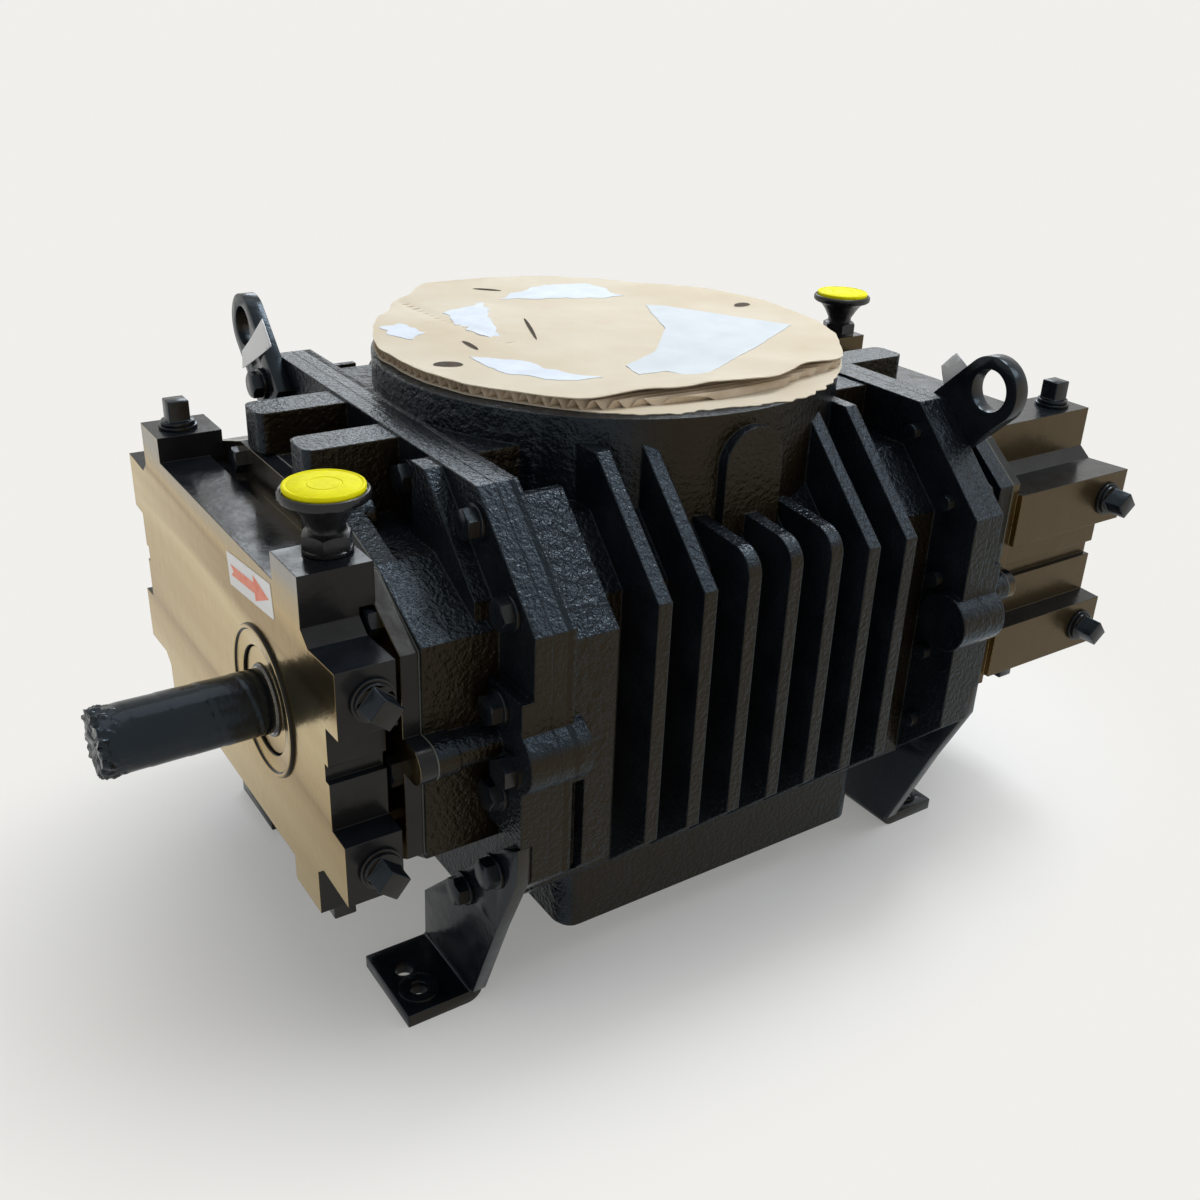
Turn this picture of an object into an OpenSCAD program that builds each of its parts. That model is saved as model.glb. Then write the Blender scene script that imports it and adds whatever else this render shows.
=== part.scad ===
// Three-lobe rotary blower stage on four bent plate feet.
// X runs along the shafts towards the timing gears, Y across the two rotors, Z up from the feet.
// Heights named "up" or "down" are measured from the plane of the two rotor axes.

/* [Machine] */
// Height of both rotor axes above the feet
axis_h = 227; // [224:1:232]
// Distance between the two rotor axes
axis_gap = 152; // [149:1:153]
// Length of the casing between its two end faces
casing_len = 363; // [350:1:380]

/* [Casing] */
// Thickness of the casing's end flange
flange_t = 15.5; // [12:0.5:18]
// Half the width of the end flange
flange_half_w = 227; // [225:1:232]
// Half the height of the end flange
flange_half_h = 152.5; // [150:0.5:155]
// Corner cut of the end flange
flange_cut = 68; // [64:1:70]
// How far shoulders and ribs stand back from the flange's edge
body_inset = 5; // [3:1:8]
// Length of the raised shoulder behind each flange
shoulder_len = 33; // [28:1:38]
// Depth of the hollow between two ribs
rib_depth = 34; // [28:1:36]
// Thickness of a cooling rib
rib_t = 10; // [6:0.5:11]
// How far the ribs' tops stand above the end flange
rib_rise = 4.5; // [3:0.5:6]
// Rounding of the low ribs' shoulders
rib_round_r = 18; // [14:1:22]
// Height of the casing's wall between the ribs, above the axes
wall_top = 118; // [115:1:124]
// Half the width of the ledge that joins the neck to the flanges
ledge_half_w = 105; // [98:1:108]
// Distance between two ribs
rib_pitch = 34.3; // [32:0.1:36]
// Ribs on each side of the middle one
rib_steps = 3; // [2:1:3]
// Radius of the round lug for the jacking screw
lug_r = 22; // [21:0.5:23]
// Distance of the lugs from the middle plane
lug_y = 217; // [216:1:219]
// Height of the lugs above the axes
lug_up = 2.5; // [1:0.5:4]
// Length of the lug on the casing
lug_len = 22.5; // [20:0.5:26]

/* [Inlet] */
// Outer radius of the inlet neck
neck_r = 170; // [166:1:173]
// Height of the neck's face above the axes
neck_up = 173; // [168:1:176]
// Radius of the inlet bore
inlet_r = 100; // [90:1:105]
// Bolt circle of the inlet flange
inlet_pcd = 295; // [285:1:300]
// Number of tapped holes in the inlet flange
inlet_holes = 8; // [4, 8, 12]
// Radius of a tapped hole in the inlet flange
inlet_hole_r = 8.75; // [7:0.25:9]
// Depth of those holes
inlet_hole_depth = 38; // [25:1:40]
// Width of the arched boss on the neck
boss_w = 47; // [40:1:54]
// How far that boss stands out from the neck
boss_rise = 7; // [5:0.5:9]

/* [Discharge] */
// Half the length of the plinth
plinth_half_len = 137; // [130:1:142]
// Half the width of the plinth
plinth_half_w = 177; // [172:1:182]
// Height of the plinth's face above the feet
plinth_h = 40; // [36:1:50]
// Radius of the plinth's upright corners
plinth_corner_r = 15; // [10:1:20]
// Radius of the discharge bore
discharge_r = 100; // [90:1:102]
// Spacing of the tapped holes along the machine
discharge_bolt_x = 220; // [210:1:228]
// Spacing of the tapped holes across the machine
discharge_bolt_y = 300; // [290:1:310]
// Radius of a tapped hole in the discharge face
discharge_hole_r = 7; // [5:0.5:8]

/* [Rotors] */
// Gap left between a rotor's flank and its ideal outline
rotor_gap = 0.2; // [0.15:0.05:0.3]
// Gap between a rotor's end and the side plate
end_gap = 0.3; // [0.2:0.05:0.6]
// Half the length of the slot from each port into the rotor chamber
port_half_len = 150; // [130:1:155]
// Half the width of that slot
port_half_w = 58; // [50:1:60]

/* [Side plates] */
// Thickness of the side plate's flange
plate_t = 12; // [10:0.5:14]
// Depth of the whole side plate
plate_depth = 62.5; // [60:0.5:68]
// Half the width of the bearing box
box_half_w = 186; // [184:1:190]
// Half the height of the bearing box
box_half_h = 102; // [100:1:106]
// Corner cut of the bearing box, across
box_cut_w = 58; // [50:1:62]
// Corner cut of the bearing box, upright
box_cut_h = 29; // [24:1:34]
// Wall thickness of the bearing box
box_wall = 12; // [8:1:14]
// Width of a bar on top of the side plate
bar_w = 30; // [24:1:34]
// Distance between the middles of the two bars
bar_gap = 82; // [76:1:90]
// Thickness of the pad under the jacking screw lug
pad_t = 8; // [6:0.5:9]
// Radius of the long boss on the box's side
rod_boss_r = 10; // [8:0.5:12]

/* [Oil covers] */
// Depth of the drive end cover
drive_cover_depth = 55.8; // [54:0.1:62]
// Depth of the gear end cover
gear_cover_depth = 133; // [122:1:138]
// Half the width over the side lugs
cover_half_w = 198; // [196:1:202]
// Half the width between the side lugs
cover_wall_w = 180; // [178:1:184]
// Half the height over the top lugs
cover_half_h = 116; // [114:1:120]
// Half the height between the top lugs
cover_wall_h = 98; // [96:1:102]
// Wall thickness of a cover
cover_wall = 10; // [7:0.5:11]
// Thickness of a cover's flange
cover_flange_t = 11; // [9:0.5:12]
// Thickness of the gasket under a cover
gasket_t = 1; // [0.8:0.1:1.5]
// Depth of the groove in the covers' side walls
groove_depth = 5; // [3:0.5:6]

/* [Shafts] */
// Radius of the free shaft end
shaft_end_r = 21; // [19:0.5:21.5]
// Length of the free shaft end
shaft_end_len = 100.5; // [88:0.5:104]
// Radius of the shaft inside the rotor
rotor_seat_r = 30; // [28:0.5:32]
// Radius of the seal sleeve on the drive shaft
sleeve_r = 24; // [23.5:0.25:26]
// Bore radius of a bearing
bearing_bore_r = 25; // [24.5:0.1:25.5]
// Outer radius of a bearing
bearing_r = 55; // [54:0.5:57]
// Width of a bearing
bearing_w = 27; // [24:1:29]
// Teeth on each timing gear, an even number
gear_teeth = 38; // [36, 38, 40]
// Face width of a timing gear
gear_w = 40; // [30:1:44]
// Radius of the splash disc
slinger_r = 68; // [56:1:70]

/* [Fasteners] */
// Thread radius of the flange bolts
bolt_r = 6; // [5:0.5:6]
// Width across the flats of the flange bolts' heads
bolt_af = 18; // [16:1:19]
// Height of the flange bolts' heads
bolt_head_h = 7.5; // [6:0.5:9]
// Width across the flats of the square oil plugs
plug_af = 15; // [12:1:16]
// Height of the oil plugs' square
plug_h = 15; // [10:1:17]
// Radius of the sealing washers under the oil plugs
plug_washer_r = 13.5; // [12:0.5:14]

/* [Oil fillers] */
// Radius of the yellow disc
disc_r = 24; // [20:1:26]
// Height of the filler's yellow disc above the lug
filler_h = 41; // [38:1:48]
// Width across the flats of the filler's hexagon
filler_af = 27; // [24:1:30]

/* [Feet] */
// Thickness of the feet's plate
foot_t = 10; // [8:0.5:12]
// Length of a foot's base from the side plate
foot_len = 57; // [54:1:64]
// Distance of a foot's inner edge from the middle plane
foot_inner_y = 94; // [90:1:98]
// Distance of a foot's outer edge from the middle plane
foot_outer_y = 164; // [160:1:170]
// Distance of the outer foot holes from the middle plane
foot_hole_y = 144; // [142:1:148]
// Distance of the inner foot holes from the middle plane
foot_slot_y = 120; // [110:1:122]
// Distance of the foot holes from the machine's middle
foot_hole_x = 233; // [230:1:236]
// Radius of a hole in a foot
foot_hole_r = 6.5; // [5:0.25:7]

/* [Lifting eyes] */
// Thickness of a lifting eye's plate
eye_t = 12; // [10:0.5:14]
// Radius of the hole in a lifting eye
eye_hole_r = 15; // [12:0.5:16]
// Outer radius of a lifting eye
eye_r = 24.5; // [23:0.5:26]
// Distance of the eye's hole from the middle plane
eye_y = 195; // [190:1:200]
// Height of the eye's hole above the axes
eye_up = 166.5; // [160:0.5:170]

/* [Packing] */
// Thickness of the corrugated cover on the inlet
board_t = 8; // [5:0.5:9]
// Mean radius of the corrugated cover
board_r = 178; // [174:1:184]
// Length of the arrow sticker
sticker_len = 79; // [60:1:90]
// Width of the arrow sticker
sticker_w = 22.5; // [18:0.5:28]

/* [Hidden] */
$fn = 64;

// Gap of a seated or screwed fit, of a running fit, and between a screw and its hole
seat_gap = 0.03;
run_gap = 0.08;
hole_gap = 0.5;
// How far a cutting tool reaches past a face
past = 1;

// Stations along X
split_x = casing_len/2;
flange_in_x = split_x - flange_t;
shoulder_x = flange_in_x - shoulder_len;
plate_x = split_x + plate_t;
box_x = split_x + plate_depth;
cover_x = box_x + gasket_t;
cover_flange_x = cover_x + cover_flange_t;
drive_face_x = cover_x + drive_cover_depth;
gear_face_x = cover_x + gear_cover_depth;

// Rotor form: lobes and valleys are traced by one rolling circle
lobes = 3;
rotor_y = axis_gap/2;
roll_r = rotor_y/(2*lobes);
tip_r = rotor_y + 2*roll_r;
chamber_r = tip_r + 0.1;
trace_step = 2;

// Body section
body_half_w = flange_half_w - body_inset;
body_top = flange_half_h - 1.5;
wall_half_w = body_half_w - rib_depth;
rib_half_w = flange_half_w - 1;
shoulder_top = body_top - 11;
// Sum of width and height on the sloping faces, above and below the axes
flange_sum = flange_half_w + flange_half_h - flange_cut;
slope_sum = flange_sum - 15.5;
low_sum = flange_sum + 2.5;
wall_sum = flange_sum - 44.5;

// Bearing stations, bearing rings and rolling elements
bearing_in_x = box_x - bearing_w - 3;
bearing_out_x = bearing_in_x + bearing_w;
roll_circle_r = (bearing_bore_r + bearing_r)/2 - 0.25;
roller_r = 6.6;
roller_count = 13;
roller_len = 18;
ball_r = 8.5;
ball_count = 9;

// Shaft stations
shaft_shoulder_x = drive_face_x + 0.5;
sleeve_in_x = drive_face_x - 36;
shaft_tip_x = shaft_shoulder_x + shaft_end_len;
gear_in_x = box_x + 18;
gear_out_x = gear_in_x + gear_w;
gear_seat_r = bearing_bore_r - 1;
ring_bore_r = 42;
ring_carrier_r = 36;

// Screw places, a quarter of the pattern each, as width and height from the axes
top_screw = [71, 129];
corner_screw = [158.5, 130.5];
side_screw = [199, 89.5];
wall_screw = [box_half_w + 14, 30];
jack_place = [lug_y - 1, lug_up - 7.5];
dowel_place = [103.5, 128];
lug_x_plug = 21;
top_lug = [110, 151];
// Pad that carries the jacking screw and the bolts beside it: its inner edge and its lower end
pad_in_y = box_half_w + 1;
pad_low = 56;
side_lug = [36, 78];

// A list of points in the first quadrant, repeated in all four, as one outline
function flip_y(pts) = [for (i = [len(pts)-1:-1:0]) [-pts[i][0], pts[i][1]]];
function flip_z(pts) = [for (i = [len(pts)-1:-1:0]) [pts[i][0], -pts[i][1]]];
function four_way(pts) = concat(pts, flip_z(pts), flip_y(flip_z(pts)), flip_y(pts));
function four_places(p) = [p, [-p[0], p[1]], [-p[0], -p[1]], [p[0], -p[1]]];

// Eight-sided section with sloping corners; the sums fix where the slopes lie
function section(half_w, top, bottom, top_sum, bottom_sum) = [
  [half_w, bottom_sum == 0 ? -bottom : -(bottom_sum - half_w)], [half_w, top_sum - half_w],
  [top_sum - top, top], [-(top_sum - top), top],
  [-half_w, top_sum - half_w], [-half_w, -(bottom_sum - half_w)],
  [-(bottom_sum - bottom), -bottom], [bottom_sum - bottom, -bottom]
];

// Shape drawn in the Y-Z plane about the axes, extruded from one X to another
module along(x0, x1)
  translate([x0, 0, axis_h]) rotate([90, 0, 90]) linear_extrude(x1 - x0) children();

// Round bar along X
module rod(x0, x1, r, y = 0, up = 0)
  translate([min(x0, x1), y, axis_h + up]) rotate([0, 90, 0]) cylinder(h = abs(x1 - x0), r = r);

// Round tube along X
module tube(x0, x1, r, bore, y = 0, up = 0)
  difference() {
    rod(x0, x1, r, y, up);
    rod(min(x0, x1) - past, max(x0, x1) + past, bore, y, up);
  }

module both_ends() {
  children();
  mirror([1, 0, 0]) children();
}

module both_sides() {
  children();
  mirror([0, 1, 0]) children();
}

// Hexagon bar along X
module hex_bar(x0, x1, af, y, up)
  translate([min(x0, x1), y, axis_h + up]) rotate([0, 90, 0])
    cylinder(h = abs(x1 - x0), r = af/sqrt(3), $fn = 6);

// Hexagon bolt along X: its head stands out from x, its thread runs back towards the middle
module bolt(x, reach, place, washer = 2.5) {
  way = sign(x);
  rod(x - way*reach, x + way*0.1, bolt_r, place[0], place[1]);
  rod(x, x + way*washer, bolt_af*0.66, place[0], place[1]);
  hex_bar(x + way*washer, x + way*(washer + bolt_head_h), bolt_af, place[0], place[1]);
}

// Holes for a list of places along X
module holes(x0, x1, r, places)
  for (p = places) rod(x0, x1, r, p[0], p[1]);

// Places where the screws come out of the gear end's flange, clear of the casing's wall
open_screws = concat([for (s = [-1, 1]) [s*corner_screw[0], corner_screw[1]]],
                     four_places(side_screw), four_places(wall_screw));
all_flange_screws = concat(four_places(top_screw), four_places(corner_screw),
                           four_places(side_screw), four_places(wall_screw));

module flange_face()
  polygon(section(flange_half_w, flange_half_h, flange_half_h, flange_sum, flange_sum));

// Slot with round ends, along X, cut upright
module port_slot(z0, z1) {
  run = port_half_len - port_half_w;
  translate([0, 0, z0]) linear_extrude(z1 - z0) {
    square([2*run, 2*port_half_w], center = true);
    for (s = [-1, 1]) translate([s*run, 0]) circle(port_half_w);
  }
}

// Rib outline whose shoulders are round, for the ribs below the arched boss
module round_rib() {
  knee_up = 85;
  mid_y = rib_half_w - rib_round_r;
  arc = [for (a = [0:9:90]) [mid_y + rib_round_r*cos(a), knee_up + rib_round_r*sin(a)]];
  foot = [[low_sum - flange_half_h, -flange_half_h], [rib_half_w, -(low_sum - rib_half_w)]];
  half = concat(foot, arc, [[neck_r - 10, knee_up + rib_round_r + 4]]);
  polygon(concat(half, flip_y(half)));
}

module full_rib() polygon(section(rib_half_w, flange_half_h + rib_rise, flange_half_h,
  flange_sum - 1, low_sum));

module ribs()
  for (i = [-rib_steps:rib_steps])
    along(i*rib_pitch - rib_t/2, i*rib_pitch + rib_t/2)
      if (abs(i) < 2) round_rib(); else full_rib();

// Plinth with rounded upright corners; its lower edge steps in a little
module plinth() {
  edge = 4;
  top = axis_h - flange_half_h + 20;
  plinth_layer(plinth_h, plinth_h + edge + past, edge);
  plinth_layer(plinth_h + edge, top, 0);
}
module plinth_layer(z0, z1, inset) {
  x = plinth_half_len - inset;
  y = plinth_half_w - inset;
  r = plinth_corner_r - inset;
  translate([0, 0, z0]) linear_extrude(z1 - z0) {
    square([2*x, 2*(y - r)], center = true);
    square([2*(x - r), 2*y], center = true);
    for (sx = [-1, 1], sy = [-1, 1]) translate([sx*(x - r), sy*(y - r)]) circle(r);
  }
}

// Raised shoulder behind the drive end's flange, open towards the neck
module shoulder()
  difference() {
    pocket_half_w = slope_sum - shoulder_top - 6;
    along(shoulder_x, flange_in_x + past)
      polygon(section(body_half_w, shoulder_top, flange_half_h, slope_sum, low_sum - 2.5));
    translate([shoulder_x - past, -pocket_half_w, axis_h + wall_top])
      cube([shoulder_len + past, 2*pocket_half_w, shoulder_top]);
    // Relief for the bolts' ends beside the flange, below the lug
    both_sides() translate([flange_in_x - 12, body_half_w - 10, axis_h - 96])
      cube([12, 20, 72]);
  }

// Arched boss on the neck, above the middle ribs
module neck_boss() {
  boss_top = 164;
  boss_low = 92;
  rotate([90, 0, 0]) linear_extrude(neck_r + boss_rise) {
    translate([-boss_w/2, axis_h + boss_low]) square([boss_w, boss_top - boss_low - boss_w/2]);
    translate([0, axis_h + boss_top - boss_w/2]) circle(boss_w/2);
  }
}

module casing_outside() {
  along(-flange_in_x - past, flange_in_x + past) {
    polygon(section(wall_half_w, wall_top, flange_half_h, wall_sum, low_sum));
    translate([-ledge_half_w, wall_top - past]) square([2*ledge_half_w, body_top - wall_top + past]);
  }
  both_ends() {
    along(flange_in_x, split_x) flange_face();
    both_sides() rod(split_x - lug_len, split_x, lug_r, lug_y, lug_up);
  }
  mirror([1, 0, 0]) shoulder();
  ribs();
  translate([0, 0, axis_h + 50]) cylinder(h = neck_up - 50, r = neck_r, $fn = 128);
  both_sides() neck_boss();
  plinth();
}

module discharge_screws(r, z0, z1) {
  for (sx = [-1, 1], sy = [-1, 1])
    translate([sx*discharge_bolt_x/2, sy*discharge_bolt_y/2, z0]) cylinder(h = z1 - z0, r = r);
  for (sy = [-1, 1]) translate([0, sy*discharge_bolt_y/2, z0]) cylinder(h = z1 - z0, r = r);
}

module casing() color("#1b1d21")
  difference() {
    casing_outside();
    both_sides() rod(-split_x - past, split_x + past, chamber_r, rotor_y);
    translate([0, 0, axis_h + 110]) cylinder(h = neck_up, r = inlet_r);
    port_slot(axis_h + 40, axis_h + 111);
    port_slot(axis_h - 111, axis_h - 40);
    translate([0, 0, plinth_h - past]) cylinder(h = axis_h - 110 - plinth_h + past, r = discharge_r);
    for (i = [0:inlet_holes-1]) rotate(360/inlet_holes*(i + 0.5))
      translate([inlet_pcd/2, 0, axis_h + neck_up - inlet_hole_depth])
        cylinder(h = inlet_hole_depth + past, r = inlet_hole_r);
    discharge_screws(discharge_hole_r, plinth_h - past, plinth_h + 30);
    both_ends() {
      holes(flange_in_x + 2, split_x + past, bolt_r + seat_gap, all_flange_screws);
      holes(split_x - 12, split_x + past, 5 + seat_gap, four_places(dowel_place));
    }
    holes(flange_in_x - past, split_x + past, bolt_r + seat_gap, open_screws);
  }

// Middle of the long boss on the box's side
rod_boss_y = box_half_w + 9;
rod_boss_up = 4;
// Thickness of the box's rim under the cover's flange
rim_t = 14;
// Gusset beside the upper corner screw: its inner and outer edge and its thickness
gusset_in_y = 98;
gusset_out_y = box_half_w - 8;
gusset_t = 12;

// Long quarter outline of the bearing box
box_outline = [[box_half_w - box_cut_w, box_half_h], [box_half_w, box_half_h - box_cut_h]];
// Quarter outlines of the covers' flanges; the gear end's is the larger one
drive_rim = [[66, box_half_h + 19], [129, box_half_h], [box_half_w - 2, 70]];
gear_rim = [[66, box_half_h + 19], [160, box_half_h + 11], [box_half_w + 7, 86]];
// Quarter outline of a cover with its lugs
cover_outline = [
  [top_lug[0], cover_wall_h], [top_lug[0], cover_half_h], [top_lug[1], cover_half_h],
  [top_lug[1], 84], [161, 76], [cover_half_w, side_lug[1]], [cover_half_w, side_lug[0]],
  [cover_wall_w, side_lug[0] - 1]
];
// Quarter outline of the oil space
oil_space_outline = [[118, cover_wall_h - cover_wall], [152, 62], [cover_wall_w - cover_wall - 6, 45]];

module box_shape() polygon(four_way(box_outline));
module box_space(screws)
  difference() {
    offset_w = box_half_w - box_wall;
    offset_h = box_half_h - box_wall;
    polygon(four_way([[offset_w - box_cut_w, offset_h], [offset_w, offset_h - box_cut_h]]));
    for (s = [-1, 1]) translate([s*rotor_y, 0]) circle(bearing_r + 13);
    for (p = screws) translate(p) circle(11);
  }

// A cover's flange from one X to another, with the small boss that continues the box's long boss
module cover_flange(x0, x1, rim) {
  along(x0, x1) polygon(four_way(rim));
  both_sides() {
    rod(x0, x1, rod_boss_r + 2, rod_boss_y, rod_boss_up);
    translate([x0, rod_boss_y - 24, axis_h + rod_boss_up - rod_boss_r - 2])
      cube([x1 - x0, 24, 2*rod_boss_r + 4]);
  }
}

// Two bars on top of the bearing box, their tips reach over the cover's flange
module top_bars() {
  tip = box_x + 12;
  corner = 8;
  rise = axis_h + body_top;
  for (s = [-1, 1]) {
    translate([plate_x - past, s*bar_gap/2 - bar_w/2, axis_h + box_half_h - 8])
      cube([box_x - plate_x + past, bar_w, body_top - box_half_h + 8]);
    translate([box_x - past, s*bar_gap/2, axis_h + 123]) linear_extrude(rise - axis_h - 123) {
      translate([0, -bar_w/2]) square([tip - box_x + past - corner, bar_w]);
      translate([0, corner - bar_w/2]) square([tip - box_x + past, bar_w - 2*corner]);
      for (t = [-1, 1]) translate([tip - box_x + past - corner, t*(bar_w/2 - corner)]) circle(corner);
    }
  }
}

// Side plate for the gear end; the drive end's is turned half round
module side_plate(screws, rim)
  difference() {
    union() {
      along(split_x, plate_x) flange_face();
      along(plate_x - past, box_x) box_shape();
      cover_flange(box_x - rim_t, box_x, rim);
      top_bars();
      // Gusset on the side without a lifting eye
      along(plate_x - past, plate_x + gusset_t) polygon([[gusset_in_y, box_half_h - 8],
        [gusset_in_y, body_top], [wall_sum - body_top, body_top],
        [gusset_out_y, wall_sum - gusset_out_y], [gusset_out_y, box_half_h - box_cut_h - 3]]);
      both_sides() {
        rod(split_x, plate_x + pad_t, lug_r, lug_y, lug_up);
        translate([plate_x - past, pad_in_y, axis_h - pad_low]) cube([pad_t + past, flange_half_w - pad_in_y, 100]);
        rod(plate_x - past, box_x, rod_boss_r, rod_boss_y, rod_boss_up);
        translate([plate_x - past, rod_boss_y - 12, axis_h + rod_boss_up - rod_boss_r])
          cube([box_x - plate_x + past, 12, 2*rod_boss_r]);
      }
      for (p = four_places(rim_screw)) rod(box_x - 24, box_x, 12, p[0], p[1]);
    }
    along(bearing_in_x - 4, box_x + past) box_space(screws);
    for (s = [-1, 1]) {
      rod(bearing_in_x, box_x + past, bearing_r + seat_gap, s*rotor_y);
      rod(split_x - past, bearing_in_x + past, ring_bore_r, s*rotor_y);
    }
    holes(split_x - past, plate_x + pad_t + past, bolt_r + hole_gap, all_flange_screws);
    holes(split_x - past, plate_x + past, 5 + seat_gap, four_places(dowel_place));
    holes(box_x - 20, box_x + past, 5 + seat_gap, screws);
    for (s = [-1, 1]) holes(box_x - 16, box_x + past, 3 + seat_gap, ring_places(s*rotor_y));
    both_sides() rod(split_x - past, plate_x + pad_t + past, bolt_r + seat_gap, jack_place[0], jack_place[1]);
  }

// Six screw places round a bearing
function ring_places(y) = [for (a = [30:60:330]) [y + (bearing_r + 7)*cos(a), (bearing_r + 7)*sin(a)]];
// Screw places of the covers' flanges
rim_screw = [67, box_half_h + 5.5];
slope_screw = [150, box_half_h - 24];
low_side_screw = [box_half_w - 12, -11];
drive_cover_screws = concat(four_places(rim_screw), four_places(slope_screw),
                            [low_side_screw, [-low_side_screw[0], low_side_screw[1]]]);
gear_cover_screws = concat(four_places(rim_screw), [[box_half_w, 0], [-box_half_w, 0]]);

module drive_side_plate() color("#1b1d21") rotate([0, 0, 180]) side_plate(drive_cover_screws, drive_rim);
module gear_side_plate() color("#1b1d21") side_plate(gear_cover_screws, gear_rim);

module oil_space(x0, x1) along(x0, x1) polygon(four_way(oil_space_outline));

module cover_gasket(screws, rim)
  difference() {
    cover_flange(box_x, cover_x, rim);
    oil_space(box_x - past, cover_x + past);
    holes(box_x - past, cover_x + past, 5 + hole_gap, screws);
  }

module drive_gasket() color("#3a3d40") mirror([1, 0, 0]) cover_gasket(drive_cover_screws, drive_rim);
module gear_gasket() color("#3a3d40") cover_gasket(gear_cover_screws, gear_rim);

// Places of the oil plugs on a cover, as distance along X, and which way each points
lug_mid_y = (top_lug[0] + top_lug[1])/2;
lug_mid_up = (side_lug[0] + side_lug[1])/2;
drive_plug_x = drive_face_x - lug_x_plug;
gear_plug_x = gear_face_x - lug_x_plug;
plug_thread_r = 9;
plug_thread_len = 14;
side_plug_turn = 40;
gear_rim_t = 7;
// Places of the two oil fillers
filler_y = lug_mid_y - 6;
drive_filler_x = drive_face_x - lug_x_plug - 8.5;
gear_filler_x = gear_face_x - lug_x_plug;

// A shape that stands on the lug at side s of the chosen edge, drawn upright from Z = 0
module on_side_lug(x, s, t) translate([x, s*cover_half_w, axis_h + t*lug_mid_up])
  rotate([s*-90, 0, 0]) rotate([0, 0, side_plug_turn]) children();
module on_top_lug(x, s) translate([x, s*lug_mid_y, axis_h + cover_half_h]) children();
module on_filler_place(x, s) translate([x, s*filler_y, axis_h + cover_half_h]) children();
module on_bottom_lug(x, s) translate([x, s*lug_mid_y, axis_h - cover_half_h])
  rotate([180, 0, 0]) children();

// All lugs of one cover; the filler takes the top lug at side "filler"
module on_lugs(x, filler) {
  for (s = [-1, 1], t = [-1, 1]) on_side_lug(x, s, t) children();
  for (s = [-1, 1]) on_bottom_lug(x, s) children();
  on_top_lug(x, -filler) children();
}

module plug_hole() translate([0, 0, -plug_thread_len - past])
  cylinder(h = plug_thread_len + 2*past, r = plug_thread_r + seat_gap);

// Groove and rounded corner that run along the covers' side walls
module wall_groove(x0, x1)
  both_sides() translate([x0, cover_wall_w - groove_depth, axis_h - 3])
    cube([x1 - x0, groove_depth + past, 12]);

module drive_oil_cover() color("#141518") mirror([1, 0, 0])
  difference() {
    union() {
      cover_flange(cover_x, cover_flange_x, drive_rim);
      // Waist behind the front block, where the flange bolts sit
      along(cover_flange_x - past, drive_face_x - 20) polygon(four_way([[105, 94], [140, 72], [162, 55]]));
      for (s = [-1, 1], t = [-1, 1])
        translate([cover_flange_x - past, s*lug_mid_y - 20.5, axis_h + (t > 0 ? 89 : -cover_half_h)])
          cube([20, 41, cover_half_h - 89]);
      along(cover_flange_x + 9, drive_face_x) polygon(four_way(cover_outline));
    }
    oil_space(cover_x - past, drive_face_x - cover_wall);
    wall_groove(cover_flange_x + 8, drive_face_x + past);
    on_lugs(drive_plug_x, -1) plug_hole();
    on_filler_place(drive_filler_x, -1) plug_hole();
    holes(cover_x - past, cover_flange_x + past, 5 + hole_gap, drive_cover_screws);
    rod(drive_face_x - cover_wall - past, drive_face_x + past, carrier_r + seat_gap, -rotor_y);
  }

module gear_oil_cover() color("#141518")
  difference() {
    union() {
      cover_flange(cover_x, cover_x + gear_rim_t, gear_rim);
      along(cover_x + gear_rim_t - past, gear_face_x) polygon(four_way(cover_outline));
    }
    oil_space(cover_x - past, gear_face_x - cover_wall);
    wall_groove(cover_x + 22, gear_face_x + past);
    on_lugs(gear_plug_x, 1) plug_hole();
    on_filler_place(gear_filler_x, 1) plug_hole();
    holes(cover_x - past, cover_x + gear_rim_t + past, 5 + hole_gap, gear_cover_screws);
    // Flat for the heads of the two side bolts
    both_sides() rod(cover_x + gear_rim_t, cover_x + gear_rim_t + 16, 13, box_half_w);
  }

// Seal at the drive shaft
carrier_r = 50.3;
seal_seat_r = 35;

module seal_carrier() color("#17181b")
  mirror([1, 0, 0]) tube(drive_face_x - cover_wall - 6, drive_face_x - 0.5, carrier_r, seal_seat_r, -rotor_y);

module lip_seal() color("#26211f")
  mirror([1, 0, 0])
    tube(drive_face_x - 12, drive_face_x - 1.5, seal_seat_r - seat_gap, sleeve_r + run_gap, -rotor_y);

module seal_sleeve() color("#5d6064") mirror([1, 0, 0])
  tube(sleeve_in_x, drive_face_x - 0.5, sleeve_r, shaft_end_r + 1 + seat_gap, -rotor_y);

// Rotor outline
function turned(p, a) = [p[0]*cos(a) - p[1]*sin(a), p[0]*sin(a) + p[1]*cos(a)];
function lobe_arc(t) = [
  (rotor_y + roll_r)*cos(t) - roll_r*cos((rotor_y + roll_r)/roll_r*t),
  (rotor_y + roll_r)*sin(t) - roll_r*sin((rotor_y + roll_r)/roll_r*t)];
function valley_arc(t) = [
  (rotor_y - roll_r)*cos(t) + roll_r*cos((rotor_y - roll_r)/roll_r*t),
  (rotor_y - roll_r)*sin(t) - roll_r*sin((rotor_y - roll_r)/roll_r*t)];
// Point on the ideal outline; each lobe and each valley takes half a lobe's angle
function outline_point(a) =
  let (span = 360/lobes, k = floor(a/span), t = a - k*span)
    turned(t < span/2 ? lobe_arc(t) : turned(valley_arc(t - span/2), span/2), k*span - span/4);
// The same point set back by the rotor gap, square to the outline
function rotor_point(a) =
  let (p = outline_point(a), d = outline_point(a + 0.5) - outline_point(a - 0.5))
    p - rotor_gap*[d[1], -d[0]]/norm(d);

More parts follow.
